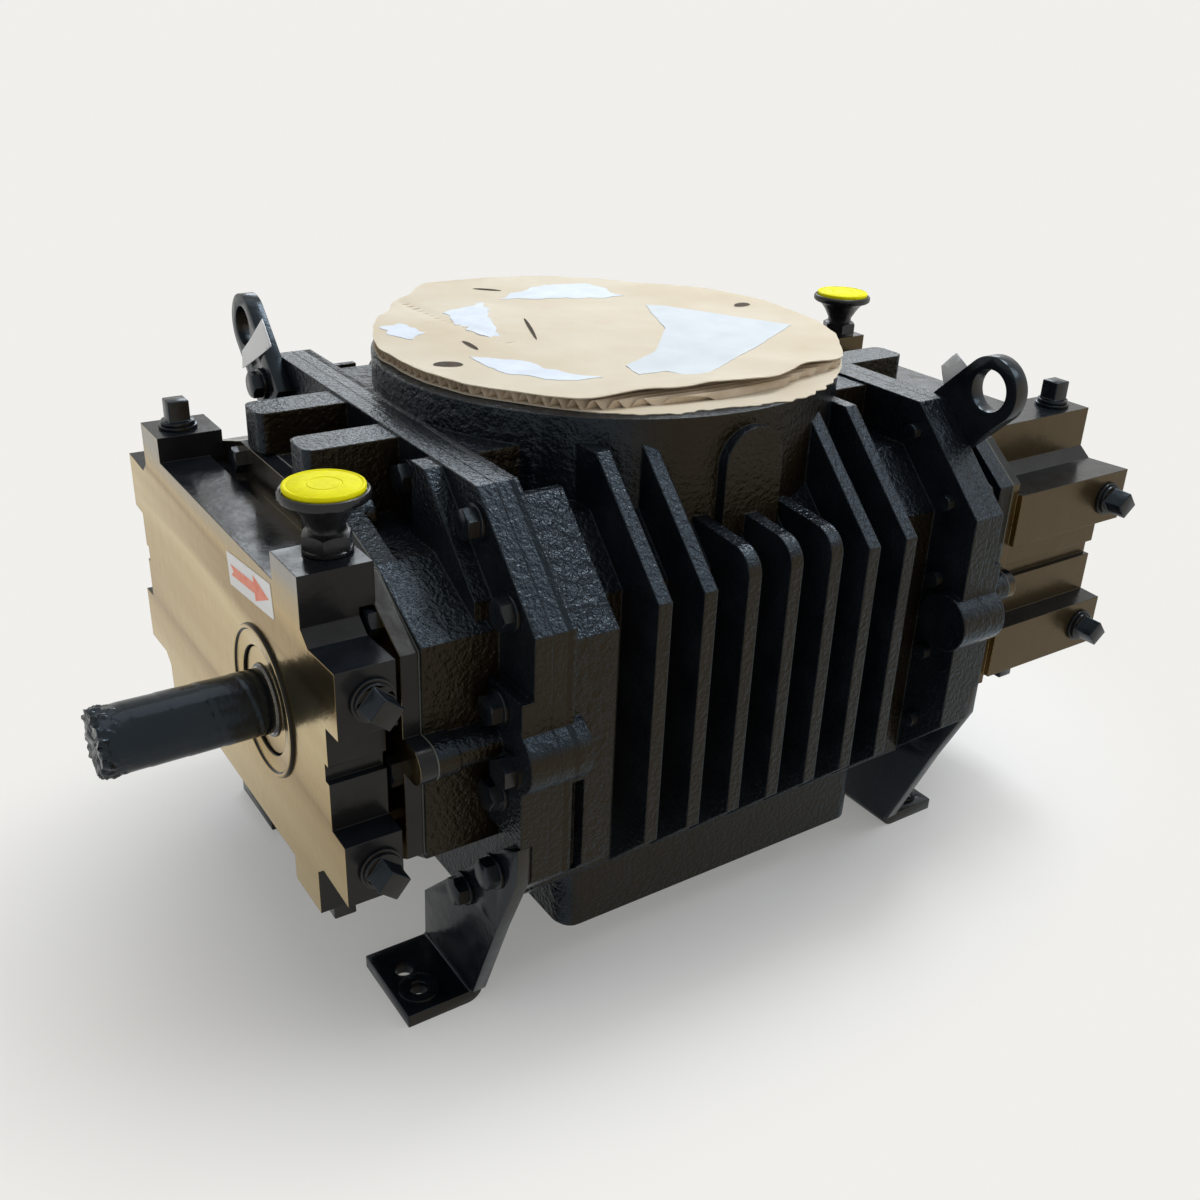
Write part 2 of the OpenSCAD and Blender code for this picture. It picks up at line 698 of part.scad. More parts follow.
module rotor(y)
  difference() {
    translate([-split_x + end_gap, y, axis_h]) rotate([90, 0, 90])
      linear_extrude(casing_len - 2*end_gap)
        polygon([for (a = [0:trace_step:360 - trace_step]) rotor_point(a)]);
    rod(-split_x, split_x, rotor_seat_r + seat_gap, y);
  }

module drive_rotor() color("#8b8f94") rotor(-rotor_y);
module driven_rotor() color("#8b8f94") rotor(rotor_y);

// Shaft from the seal zone at the drive end to the gear seat
module shaft_core(y, drive_end_x) {
  rod(-bearing_in_x, bearing_in_x, rotor_seat_r, y);
  rod(-drive_end_x, gear_in_x, bearing_bore_r, y);
  rod(gear_in_x - past, gear_out_x - 0.5, gear_seat_r, y);
}

module shaft_end_thread(y) rod(gear_out_x - 45, gear_out_x + past, 8 + seat_gap, y);

module drive_shaft() color("#7c8085")
  difference() {
    union() {
      shaft_core(-rotor_y, sleeve_in_x);
      rod(-shaft_shoulder_x, -bearing_out_x, shaft_end_r + 1, -rotor_y);
      rod(-shaft_tip_x, -shaft_shoulder_x + past, shaft_end_r, -rotor_y);
    }
    // Keyway for a 12 mm key, turned down
    translate([-shaft_tip_x + 12, -rotor_y - 6, axis_h - shaft_end_r - 5]) cube([76, 12, 10]);
    shaft_end_thread(-rotor_y);
  }

module driven_shaft() color("#7c8085")
  difference() {
    union() {
      shaft_core(rotor_y, box_x + 6);
      rod(-slinger_x - 9, -box_x, shaft_end_r, rotor_y);
    }
    shaft_end_thread(rotor_y);
  }

// Timing gears with involute teeth
gear_module = axis_gap/gear_teeth;
base_r = rotor_y*cos(20);
tooth_gap = 0.12;
function involute(r) = r <= base_r ? 0 : sqrt(pow(r/base_r, 2) - 1)*180/PI - acos(base_r/r);
// Half the angle of a tooth at radius r
function tooth_half(r) = 90/gear_teeth - tooth_gap/rotor_y*180/PI + involute(rotor_y) - involute(r);
tooth_radii = [for (i = [0:4]) rotor_y + gear_module*(-1.2 + 2.15*i/4)];
function tooth(mid) = concat(
  [for (i = [0:4]) turned([tooth_radii[i], 0], mid - tooth_half(tooth_radii[i]))],
  [for (i = [4:-1:0]) turned([tooth_radii[i], 0], mid + tooth_half(tooth_radii[i]))]);

module timing_gear(y, turn)
  difference() {
    union() {
      translate([gear_in_x, y, axis_h]) rotate([90, 0, 90]) linear_extrude(gear_w)
        polygon([for (i = [0:gear_teeth-1], p = tooth(turn + i*360/gear_teeth)) p]);
      rod(bearing_out_x + 0.2, gear_in_x + past, gear_seat_r + 9, y);
    }
    rod(bearing_out_x, gear_in_x, bearing_bore_r + seat_gap, y);
    rod(gear_in_x - past, gear_out_x + past, gear_seat_r + seat_gap, y);
    for (a = [0:60:300]) rod(gear_in_x - past, gear_out_x + past, 9,
      y + rotor_y*0.62*cos(a), rotor_y*0.62*sin(a));
  }

module drive_timing_gear() color("#6f7479") timing_gear(-rotor_y, 0);
module driven_timing_gear() color("#6f7479") timing_gear(rotor_y, 180/gear_teeth);

module gear_clamp(y) tube(gear_out_x, gear_out_x + 8, gear_seat_r + 10, 8.5, y);
module drive_gear_clamp() color("#5d6064") gear_clamp(-rotor_y);
module driven_gear_clamp() color("#5d6064") gear_clamp(rotor_y);

module clamp_screw(y) {
  rod(gear_out_x - 40, gear_out_x + 8.1, 8, y);
  hex_bar(gear_out_x + 8, gear_out_x + 18, 24, y, 0);
}
module gear_clamp_screw() color("#3c3f43") clamp_screw(-rotor_y);
module driven_clamp_screw() color("#3c3f43") clamp_screw(rotor_y);

// Splash disc on the driven shaft at the drive end
slinger_x = box_x + 24;
module oil_slinger_disc() color("#8b8f94")
  mirror([1, 0, 0]) {
    tube(slinger_x - 8, slinger_x + 6, shaft_end_r + 6, shaft_end_r + seat_gap, rotor_y);
    tube(slinger_x, slinger_x + 2.5, slinger_r, shaft_end_r + 1, rotor_y);
  }

// Bearings: rings and rolling elements; rollers at the drive end, balls at the gear end
module outer_ring(y, inner) tube(bearing_in_x, bearing_out_x, bearing_r, inner, y);
module inner_ring(y, outer) tube(bearing_in_x, bearing_out_x, outer, bearing_bore_r + seat_gap, y);
module ball_track(y) translate([(bearing_in_x + bearing_out_x)/2, y, axis_h]) rotate([0, 90, 0])
  rotate_extrude() translate([roll_circle_r, 0]) circle(ball_r + run_gap);

module drive_end_outer_rings() color("#9a9da1")
  mirror([1, 0, 0]) for (s = [-1, 1]) outer_ring(s*rotor_y, roll_circle_r + roller_r + run_gap);
module gear_end_outer_rings() color("#9a9da1")
  for (s = [-1, 1]) difference() {
    outer_ring(s*rotor_y, roll_circle_r + 5);
    ball_track(s*rotor_y);
  }
module shaft_inner_rings(y) {
  mirror([1, 0, 0]) inner_ring(y, roll_circle_r - roller_r - run_gap);
  difference() {
    inner_ring(y, roll_circle_r - 5);
    ball_track(y);
  }
}
module drive_shaft_inner_rings() color("#9a9da1") shaft_inner_rings(-rotor_y);
module driven_shaft_inner_rings() color("#9a9da1") shaft_inner_rings(rotor_y);

module rollers_and_cage(y)
  mirror([1, 0, 0]) {
    mid = (bearing_in_x + bearing_out_x)/2;
    places = [for (i = [0:roller_count-1]) let (a = i*360/roller_count)
      [y + roll_circle_r*cos(a), roll_circle_r*sin(a)]];
    holes(mid - roller_len/2, mid + roller_len/2, roller_r, places);
    difference() {
      tube(mid - roller_len/2 - 3, mid + roller_len/2 + 3, roll_circle_r + 2.5, roll_circle_r - 2.5, y);
      holes(mid - roller_len/2 - 0.2, mid + roller_len/2 + 0.2, roller_r + 0.2, places);
    }
  }
module drive_shaft_rollers() color("#b08d3f") rollers_and_cage(-rotor_y);
module driven_shaft_rollers() color("#b08d3f") rollers_and_cage(rotor_y);

module balls_and_cage(y) {
  mid = (bearing_in_x + bearing_out_x)/2;
  module ball_set(r) for (i = [0:ball_count-1]) let (a = i*360/ball_count)
    translate([mid, y + roll_circle_r*cos(a), axis_h + roll_circle_r*sin(a)]) sphere(r);
  ball_set(ball_r);
  difference() {
    tube(mid - 6, mid + 6, roll_circle_r + 2, roll_circle_r - 2, y);
    ball_set(ball_r + 0.2);
  }
}
module drive_shaft_balls() color("#b08d3f") balls_and_cage(-rotor_y);
module driven_shaft_balls() color("#b08d3f") balls_and_cage(rotor_y);

// Retainer plates over the bearings and their screws
module retainers()
  for (s = [-1, 1]) difference() {
    union() {
      rod(box_x, box_x + 6, bearing_r + 12.5, s*rotor_y);
      rod(bearing_out_x, box_x + past, bearing_r - 0.2, s*rotor_y);
    }
    rod(bearing_out_x - past, box_x + 6 + past, roll_circle_r + 3, s*rotor_y);
    holes(box_x - past, box_x + 6 + past, 3.3, ring_places(s*rotor_y));
  }
module drive_end_retainers() color("#4a4d51") mirror([1, 0, 0]) retainers();
module gear_end_retainers() color("#4a4d51") retainers();
module retainer_screws() color("#3c3f43") both_ends()
  for (s = [-1, 1]) {
    holes(box_x - 12, box_x + 6.1, 3, ring_places(s*rotor_y));
    for (p = ring_places(s*rotor_y)) hex_bar(box_x + 6, box_x + 10, 10, p[0], p[1]);
  }

// Piston ring seals between the rotor chamber and the oil spaces
ring_stations = [for (i = [0:2]) split_x + 4 + i*6];
bushing_out_x = bearing_in_x - 4;
module seal_bushings() color("#7d6b3a") both_ends()
  for (s = [-1, 1]) tube(split_x + 0.5, bushing_out_x, ring_bore_r - seat_gap, ring_carrier_r + 0.4, s*rotor_y);
module piston_rings() color("#55585c") both_ends()
  for (s = [-1, 1], x = ring_stations) tube(x, x + 2.5, ring_carrier_r + 0.35, ring_carrier_r - 3, s*rotor_y);
module ring_carriers(y) both_ends() difference() {
  tube(split_x + end_gap, bearing_in_x - 0.2, ring_carrier_r, rotor_seat_r + seat_gap, y);
  for (x = ring_stations) tube(x - run_gap, x + 2.5 + run_gap, ring_carrier_r + 1, ring_carrier_r - 3.2, y);
}
module drive_shaft_ring_carriers() color("#6f7479") ring_carriers(-rotor_y);
module driven_shaft_ring_carriers() color("#6f7479") ring_carriers(rotor_y);

module lock_nut(y) mirror([1, 0, 0]) tube(bearing_out_x + 0.2, bearing_out_x + 9,
  bearing_bore_r + 7, bearing_bore_r + seat_gap, y);
module drive_shaft_lock_nut() color("#5d6064") lock_nut(-rotor_y);
module driven_shaft_lock_nut() color("#5d6064") lock_nut(rotor_y);

// Screws of the flange joints; those under the feet and eyes are separate
// How far they reach behind the side plate's face: into blind holes, or out at the gear end
blind_reach = plate_t + flange_t - 3.5;
function open_reach(s) = s < 0 ? blind_reach : plate_t + flange_t + 6;
module flange_bolts() color("#24262a") {
  for (s = [-1, 1]) {
    for (p = four_places(top_screw)) bolt(s*plate_x, blind_reach, p);
    for (p = four_places(wall_screw)) bolt(s*(plate_x + pad_t), open_reach(s) + pad_t, p);
    for (p = [side_screw, [-side_screw[0], side_screw[1]]]) bolt(s*plate_x, open_reach(s), p);
    bolt(s*plate_x, open_reach(s), [s*corner_screw[0], corner_screw[1]]);
  }
}
module foot_bolts() color("#24262a")
  for (s = [-1, 1], t = [-1, 1]) {
    bolt(s*(plate_x + foot_t), foot_t + blind_reach, [t*corner_screw[0], -corner_screw[1]]);
    bolt(s*(plate_x + foot_t), foot_t + open_reach(s), [t*side_screw[0], -side_screw[1]]);
  }
module eye_bolts() color("#24262a")
  for (s = [-1, 1])
    bolt(s*(plate_x + eye_t), eye_t + open_reach(s), [-s*corner_screw[0], corner_screw[1]], 3);
module jacking_screws() color("#24262a")
  for (s = [-1, 1], t = [-1, 1])
    bolt(s*(plate_x + pad_t), plate_t + pad_t - 0.5, [t*jack_place[0], jack_place[1]]);
module dowel_pins() color("#8b8f94") both_ends()
  for (p = four_places(dowel_place)) rod(split_x - 11, plate_x - 2, 5, p[0], p[1]);

module cover_bolt(x, p, washer = 0) {
  rod(cover_x - 12, x + washer + 0.1, 5, p[0], p[1]);
  if (washer > 0) rod(x, x + washer, 10.5, p[0], p[1]);
  hex_bar(x + washer, x + washer + 6.5, 16, p[0], p[1]);
}
module drive_cover_bolts() color("#24262a") mirror([1, 0, 0])
  for (p = drive_cover_screws) cover_bolt(cover_flange_x, p);
module gear_cover_bolts() color("#24262a")
  for (p = gear_cover_screws) cover_bolt(cover_x + gear_rim_t, p, abs(p[1]) < 1 ? 6 : 0);

// Oil plugs with a square head and their sealing washers
plug_collar_h = 3;
plug_washer_h = 2.5;
module plug() {
  translate([0, 0, -plug_thread_len + 2]) cylinder(h = plug_thread_len + plug_washer_h - 1, r = plug_thread_r);
  translate([0, 0, plug_washer_h]) cylinder(h = plug_collar_h, r = 12);
  translate([-plug_af/2, -plug_af/2, plug_washer_h + plug_collar_h]) cube([plug_af, plug_af, plug_h]);
}
module plug_washer() difference() {
  cylinder(h = plug_washer_h, r = plug_washer_r);
  translate([0, 0, -past]) cylinder(h = plug_washer_h + 2*past, r = plug_thread_r + seat_gap);
}
module oil_plugs() color("#202226") {
  mirror([1, 0, 0]) on_lugs(drive_plug_x, -1) plug();
  on_lugs(gear_plug_x, 1) plug();
}
module plug_washers() color("#2b2d31") {
  mirror([1, 0, 0]) on_lugs(drive_plug_x, -1) plug_washer();
  on_lugs(gear_plug_x, 1) plug_washer();
}

// Oil fillers: threaded foot, hexagon, cone and wide black head with a yellow disc
disc_t = 3;
module filler_body() {
  head_h = 6;
  translate([0, 0, -plug_thread_len + 2]) cylinder(h = plug_thread_len, r = plug_thread_r);
  cylinder(h = 3, r = 15);
  translate([0, 0, 3]) cylinder(h = 10, r = filler_af/sqrt(3), $fn = 6);
  translate([0, 0, 13]) cylinder(h = 4, r = 11);
  translate([0, 0, 17]) cylinder(h = filler_h - disc_t - head_h - 17, r1 = 11, r2 = disc_r - 4);
  translate([0, 0, filler_h - disc_t - head_h]) cylinder(h = head_h, r = disc_r + 2);
}
module at_fillers() {
  mirror([1, 0, 0]) on_filler_place(drive_filler_x, -1) children();
  on_filler_place(gear_filler_x, 1) children();
}
module filler_bodies() color("#1d1f22") at_fillers() filler_body();
module filler_discs() color("#e6dc10") at_fillers()
  translate([0, 0, filler_h - disc_t]) cylinder(h = disc_t, r = disc_r);

// Foot at the gear end, on the side of +Y
foot_bend_r = 12;
foot_outline = [
  [foot_inner_y, foot_bend_r], [foot_inner_y + 1, 50],
  [flange_half_w - 19, axis_h - 67], [flange_half_w - 1, axis_h - 57], [flange_half_w - 1, axis_h - 82],
  [flange_half_w - 26, axis_h - 136], [foot_outer_y + 4, foot_bend_r]
];
module foot()
  difference() {
    union() {
      translate([plate_x, 0, 0]) rotate([90, 0, 90]) linear_extrude(foot_t) polygon(foot_outline);
      translate([plate_x + foot_bend_r, foot_inner_y, 0])
        cube([foot_len - foot_bend_r, foot_outer_y - foot_inner_y, foot_t]);
      translate([plate_x + foot_bend_r, foot_outer_y, foot_bend_r]) rotate([90, 0, 0])
        linear_extrude(foot_outer_y - foot_inner_y) difference() {
          circle(foot_bend_r);
          circle(foot_bend_r - foot_t);
          translate([0, -foot_bend_r]) square(2*foot_bend_r);
          translate([-foot_bend_r, 0]) square(2*foot_bend_r);
        }
    }
    holes(plate_x - past, plate_x + foot_t + past, bolt_r + hole_gap,
      [[corner_screw[0], -corner_screw[1]], [side_screw[0], -side_screw[1]]]);
    for (y = [foot_hole_y, foot_slot_y]) translate([foot_hole_x, y, -past])
      cylinder(h = foot_t + 2*past, r = foot_hole_r);
  }
module drive_near_foot() color("#222428") mirror([1, 0, 0]) mirror([0, 1, 0]) foot();
module drive_far_foot() color("#222428") mirror([1, 0, 0]) foot();
module gear_near_foot() color("#222428") mirror([0, 1, 0]) foot();
module gear_far_foot() color("#222428") foot();
module foot_washers() color("#2b2d31") both_ends() both_sides()
  translate([foot_hole_x, foot_hole_y, foot_t]) difference() {
    cylinder(h = 2.5, r = 14);
    translate([0, 0, -past]) cylinder(h = 5, r = foot_hole_r + 0.25);
  }

// Lifting eye at the gear end, on the side of -Y: a strap that rises at an angle to its ring
module lifting_eye()
  along(plate_x, plate_x + eye_t) difference() {
    run = [eye_y - corner_screw[0], eye_up - corner_screw[1]];
    reach = norm(run) + 22;
    union() {
      translate([-eye_y, eye_up]) circle(eye_r);
      translate([-eye_y, eye_up]) rotate(atan2(-run[1], run[0]))
        translate([0, -eye_r]) square([reach, 2*eye_r]);
    }
    translate([-eye_y, eye_up]) circle(eye_hole_r);
    translate([-corner_screw[0], corner_screw[1]]) circle(bolt_r + hole_gap);
  }
module gear_lifting_eye() color("#1f2125") lifting_eye();
module drive_lifting_eye() color("#1f2125") rotate([0, 0, 180]) lifting_eye();

// Corrugated cover laid on the inlet face for transport, torn out by hand: angle and what
// the edge adds to the mean radius there
board_edge = [
  [-163, -19], [-144, -22], [-125, -19], [-113, -18], [-96, -21], [-86, -16], [-74, -9], [-54, -8],
  [-33, -5], [-19, 1], [-1, 7], [17, 15], [32, 21], [47, 17], [58, 25], [75, 33], [87, 36],
  [99, 41], [114, 15], [131, -2], [151, -9], [162, -11], [177, -17]
];
module transport_cover() color("#c9a679")
  translate([0, 0, axis_h + neck_up]) linear_extrude(board_t)
    polygon([for (e = board_edge) (board_r + e[1])*[cos(e[0]), sin(e[0])]]);

module arrow_sticker() color("#e9e6e0")
  along(-drive_face_x - 0.4, -drive_face_x) translate([-68.5, 78]) rotate(-6.5)
    square([sticker_len, sticker_w], center = true);

// Paper tags that hang beside the lifting eyes' holes, as width and height from the axes
gear_tag = [[-139, 169], [-151, 182], [-170, 170], [-187, 134], [-146, 148]];
drive_tag = [[146.6, 182.8], [131.6, 165.8], [187.6, 135.8], [193.6, 147.8]];
tag_t = 0.8;
module eye_tags() color("#dfe4ea") {
  along(plate_x + eye_t, plate_x + eye_t + tag_t) polygon(gear_tag);
  along(-plate_x - eye_t - tag_t, -plate_x - eye_t) polygon(drive_tag);
}

casing();
drive_side_plate();
gear_side_plate();
drive_oil_cover();
gear_oil_cover();
drive_gasket();
gear_gasket();
seal_carrier();
lip_seal();
seal_sleeve();
drive_rotor();
driven_rotor();
drive_shaft();
driven_shaft();
drive_timing_gear();
driven_timing_gear();
drive_gear_clamp();
driven_gear_clamp();
gear_clamp_screw();
driven_clamp_screw();
oil_slinger_disc();
drive_end_outer_rings();
gear_end_outer_rings();
drive_shaft_inner_rings();
driven_shaft_inner_rings();
drive_shaft_rollers();
driven_shaft_rollers();
drive_shaft_balls();
driven_shaft_balls();
drive_end_retainers();
gear_end_retainers();
retainer_screws();
seal_bushings();
piston_rings();
drive_shaft_ring_carriers();
driven_shaft_ring_carriers();
drive_shaft_lock_nut();
driven_shaft_lock_nut();
flange_bolts();
drive_cover_bolts();
gear_cover_bolts();
foot_bolts();
eye_bolts();
jacking_screws();
dowel_pins();
oil_plugs();
plug_washers();
filler_bodies();
filler_discs();
drive_near_foot();
drive_far_foot();
gear_near_foot();
gear_far_foot();
foot_washers();
drive_lifting_eye();
gear_lifting_eye();
transport_cover();
arrow_sticker();
eye_tags();
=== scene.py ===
import math
from types import SimpleNamespace
import bmesh
import bpy
from mathutils import Matrix, Vector, noise


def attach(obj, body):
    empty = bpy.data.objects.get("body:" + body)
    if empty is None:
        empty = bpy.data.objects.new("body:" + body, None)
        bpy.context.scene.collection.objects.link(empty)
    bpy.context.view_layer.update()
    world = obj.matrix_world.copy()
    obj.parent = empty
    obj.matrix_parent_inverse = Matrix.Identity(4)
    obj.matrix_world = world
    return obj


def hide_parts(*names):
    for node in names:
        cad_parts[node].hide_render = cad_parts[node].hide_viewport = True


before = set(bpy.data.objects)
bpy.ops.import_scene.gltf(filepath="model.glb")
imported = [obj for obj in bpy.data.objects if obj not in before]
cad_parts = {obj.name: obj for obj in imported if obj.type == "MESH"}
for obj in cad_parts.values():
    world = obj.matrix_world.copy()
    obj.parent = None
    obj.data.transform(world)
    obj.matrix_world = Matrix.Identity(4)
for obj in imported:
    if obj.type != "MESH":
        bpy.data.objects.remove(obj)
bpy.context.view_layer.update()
scene = bpy.context.scene
scene.view_settings.view_transform = "Standard"
noise.seed_set(3)

MM = 0.001
AXIS_UP = 227*MM
DRIVE_Y = -76*MM
PALE = (0.875, 0.866, 0.840)


# Camera at the photograph's angle

CAMERA_PLACE = (-0.5156, -0.7580, 0.6400)
CAMERA_RIGHT = Vector((0.83399811, -0.55054798, 0.03666156))
CAMERA_UP = Vector((0.21397631, 0.38395536, 0.89821625))
CAMERA_BACK = Vector((-0.50858754, -0.74126595, 0.43802227))


def place_camera():
    data = bpy.data.cameras.new("photo_camera")
    data.sensor_width = 36.0
    data.lens = 37.9
    cam = bpy.data.objects.new("photo_camera", data)
    scene.collection.objects.link(cam)
    turn = Matrix((CAMERA_RIGHT, CAMERA_UP, CAMERA_BACK)).transposed().to_4x4()
    cam.matrix_world = Matrix.Translation(CAMERA_PLACE) @ turn
    scene.camera = cam


# Steps that build a material

def new_material(name):
    mat = bpy.data.materials.new(name)
    mat.use_nodes = True
    tree = mat.node_tree
    tree.nodes.clear()
    return mat, tree


def add(tree, kind, **sockets):
    """One shader node with its input sockets set by name."""
    node = tree.nodes.new(kind)
    for key, value in sockets.items():
        node.inputs[key.replace("_", " ")].default_value = value
    return node


def wire(tree, source, target):
    tree.links.new(source, target)


def combine(tree, operation, *values):
    """A Math node, whose inputs are numbers or the outputs of other nodes."""
    node = add(tree, "ShaderNodeMath")
    node.operation = operation
    for slot, value in enumerate(values):
        if isinstance(value, float):
            node.inputs[slot].default_value = value
        else:
            wire(tree, value, node.inputs[slot])
    return node.outputs[0]


def remap(tree, value, start, end, low=0.0, high=1.0, kind="LINEAR"):
    """Brings a value from start..end to low..high."""
    level = add(tree, "ShaderNodeMapRange", From_Min=start, From_Max=end, To_Min=low, To_Max=high)
    level.interpolation_type = kind
    wire(tree, value, level.inputs["Value"])
    return level.outputs["Result"]


def pattern(tree, place, scale, detail, rough=0.5):
    """A random pattern on those coordinates."""
    spots = add(tree, "ShaderNodeTexNoise", Scale=scale, Detail=detail, Roughness=rough)
    wire(tree, place, spots.inputs["Vector"])
    return spots.outputs["Fac"]


def stretched(tree, place, scale):
    mapping = add(tree, "ShaderNodeMapping", Scale=scale)
    wire(tree, place, mapping.inputs["Vector"])
    return mapping.outputs["Vector"]


def axes_of(tree, vector):
    parts = add(tree, "ShaderNodeSeparateXYZ")
    wire(tree, vector, parts.inputs[0])
    return parts.outputs


def shown_to_rays(tree):
    """1 for rays that come from the camera or from glossy and clear surfaces."""
    rays = add(tree, "ShaderNodeLightPath").outputs
    seen = combine(tree, "MAXIMUM", rays["Is Camera Ray"], rays["Is Glossy Ray"])
    return combine(tree, "MAXIMUM", seen, rays["Is Transmission Ray"])


def mix_shaders(tree, share, first, second, out):
    mix = add(tree, "ShaderNodeMixShader")
    wire(tree, share, mix.inputs["Fac"])
    wire(tree, first.outputs[0], mix.inputs[1])
    wire(tree, second.outputs[0], mix.inputs[2])
    wire(tree, mix.outputs[0], out.inputs["Surface"])


# Pale floor and studio light

FLOOR_HALF = 30.0
SHADOW_OVAL = (0.6, 1.0, 1.0)
SHADOW_INNER = 0.18
SHADOW_OUTER = 0.40
GLOW_NEAR = 0.25


def pale_floor():
    """A floor that takes the object's shadow and turns into the pale background round it."""
    bm = bmesh.new()
    bmesh.ops.create_grid(bm, x_segments=1, y_segments=1, size=FLOOR_HALF)
    mesh = bpy.data.meshes.new("floor")
    bm.to_mesh(mesh)
    bm.free()
    floor = bpy.data.objects.new("floor", mesh)
    scene.collection.objects.link(floor)
    mat, tree = new_material("pale_floor")
    out = add(tree, "ShaderNodeOutputMaterial")
    diffuse = add(tree, "ShaderNodeBsdfDiffuse", Color=(0.86, 0.85, 0.825, 1))
    glow = add(tree, "ShaderNodeEmission", Color=(*PALE, 1), Strength=1.0)
    coord = add(tree, "ShaderNodeTexCoord")
    length = add(tree, "ShaderNodeVectorMath")
    length.operation = "LENGTH"
    wire(tree, stretched(tree, coord.outputs["Object"], SHADOW_OVAL), length.inputs[0])
    share = remap(tree, length.outputs["Value"], SHADOW_INNER, SHADOW_OUTER,
                  GLOW_NEAR, 1.0, "SMOOTHSTEP")
    mix_shaders(tree, share, diffuse, glow, out)
    floor.data.materials.append(mat)


def pale_world():
    world = bpy.data.worlds.new("studio")
    scene.world = world
    world.use_nodes = True
    tree = world.node_tree
    tree.nodes.clear()
    out = add(tree, "ShaderNodeOutputWorld")
    seen = add(tree, "ShaderNodeBackground", Color=(*PALE, 1), Strength=1.0)
    light = add(tree, "ShaderNodeBackground", Color=(0.95, 0.97, 1.0, 1), Strength=0.45)
    mix_shaders(tree, shown_to_rays(tree), light, seen, out)


def lamp(name, kind, place, aim, power, size, colour=(1, 1, 1)):
    data = bpy.data.lights.new(name, kind)
    data.energy = power
    data.color = colour
    if kind == "AREA":
        data.shape = "RECTANGLE"
        data.size, data.size_y = size
    else:
        data.angle = size
    obj = bpy.data.objects.new(name, data)
    scene.collection.objects.link(obj)
    way = Vector(aim) - Vector(place)
    obj.matrix_world = (Matrix.Translation(place)
                        @ way.to_track_quat("-Z", "Y").to_matrix().to_4x4())


place_camera()
pale_floor()
pale_world()
lamp("overhead_softbox", "AREA", (0.9, 0.1, 2.0), (0.0, 0.0, 0.2), 19, (0.6, 0.6),
     (0.90, 0.95, 1.0))
lamp("back_softbox", "AREA", (1.3, 1.9, 1.45), (0.0, 0.0, 0.3), 21, (2.0, 0.7),
     (0.84, 0.92, 1.0))
lamp("side_softbox", "AREA", (1.25, -1.0, 1.9), (0.0, 0.0, 0.2), 9, (0.8, 0.8),
     (0.84, 0.92, 1.0))
lamp("high_sun", "SUN", (0.5, 0.6, 3.0), (0.0, 0.0, 0.0), 0.35, math.radians(40))


# Finishes

BLACK = (0.0035, 0.0045, 0.0065)
GREY_BLACK = (0.009, 0.011, 0.014)
# Painted reflection of the warm floor, in brown, on faces that look along Y
PAINTED_BROWN_REFLECTION = (0.098, 0.068, 0.030)
PAINTED_DIM_BROWN_REFLECTION = (0.030, 0.0195, 0.0065)
# Painted reflection of the floor on the covers' black end faces: tan and brown bands, grey at the
# top
PAINTED_TAN_REFLECTION = (0.39, 0.285, 0.125)
PAINTED_PALE_TAN_REFLECTION = (0.53, 0.435, 0.245)
PAINTED_BROWN_TAN_REFLECTION = (0.25, 0.165, 0.060)
PAINTED_GREY_REFLECTION = (0.24, 0.25, 0.25)
COOL_GLINT = (0.66, 0.84, 1.0)
PALE_GLINT = (0.97, 0.93, 0.86)
SPOT_RANGE = (0.32, 0.68)
FACING_RANGE = (0.80, 0.97)
# Settings of the painted reflection's bands by height
PAINTED_REFLECTION_BANDS = "tan bands"
BAND_STRETCH, BAND_SCALE, BAND_SHIFT = (0.3, 0.6, 9.0), 1.9, 0.20
BAND_RANGE = (0.20, 0.455)
PAINTED_REFLECTION_STEPS = ((0.30, PAINTED_TAN_REFLECTION), (0.44, PAINTED_BROWN_TAN_REFLECTION), (0.50, PAINTED_TAN_REFLECTION), (0.66, PAINTED_PALE_TAN_REFLECTION),
             (0.76, PAINTED_BROWN_TAN_REFLECTION), (0.84, PAINTED_TAN_REFLECTION))
STRIP_SOFT = 4*MM
FINISHES = {}


def blotches(tree, coord, size, low, high):
    """A soft random pattern with spots of that size in metres, from low to high."""
    spots = pattern(tree, coord.outputs["Object"], 1.0/size, 3.0, 0.55)
    return remap(tree, spots, *SPOT_RANGE, low, high)


def blend_colours(tree, factor, first, second):
    """Mixes two colours, each a tuple or the output of another node."""
    mix = tree.nodes.new("ShaderNodeMix")
    mix.data_type = "RGBA"
    wire(tree, factor, mix.inputs["Factor"])
    for key, value in (("A", first), ("B", second)):
        socket = next(s for s in mix.inputs if s.name == key and s.type == "RGBA")
        if isinstance(value, tuple):
            socket.default_value = (*value, 1)
        else:
            wire(tree, value, socket)
    return next(s for s in mix.outputs if s.type == "RGBA")


def facing(tree, coord, axis, amount):
    """How much the surface faces along one axis of the machine, either way, times amount: the
    mask of a painted reflection.
    """
    size = combine(tree, "ABSOLUTE", axes_of(tree, coord.outputs["Normal"])[axis])
    return remap(tree, size, *FACING_RANGE, 0.0, amount, "SMOOTHSTEP")


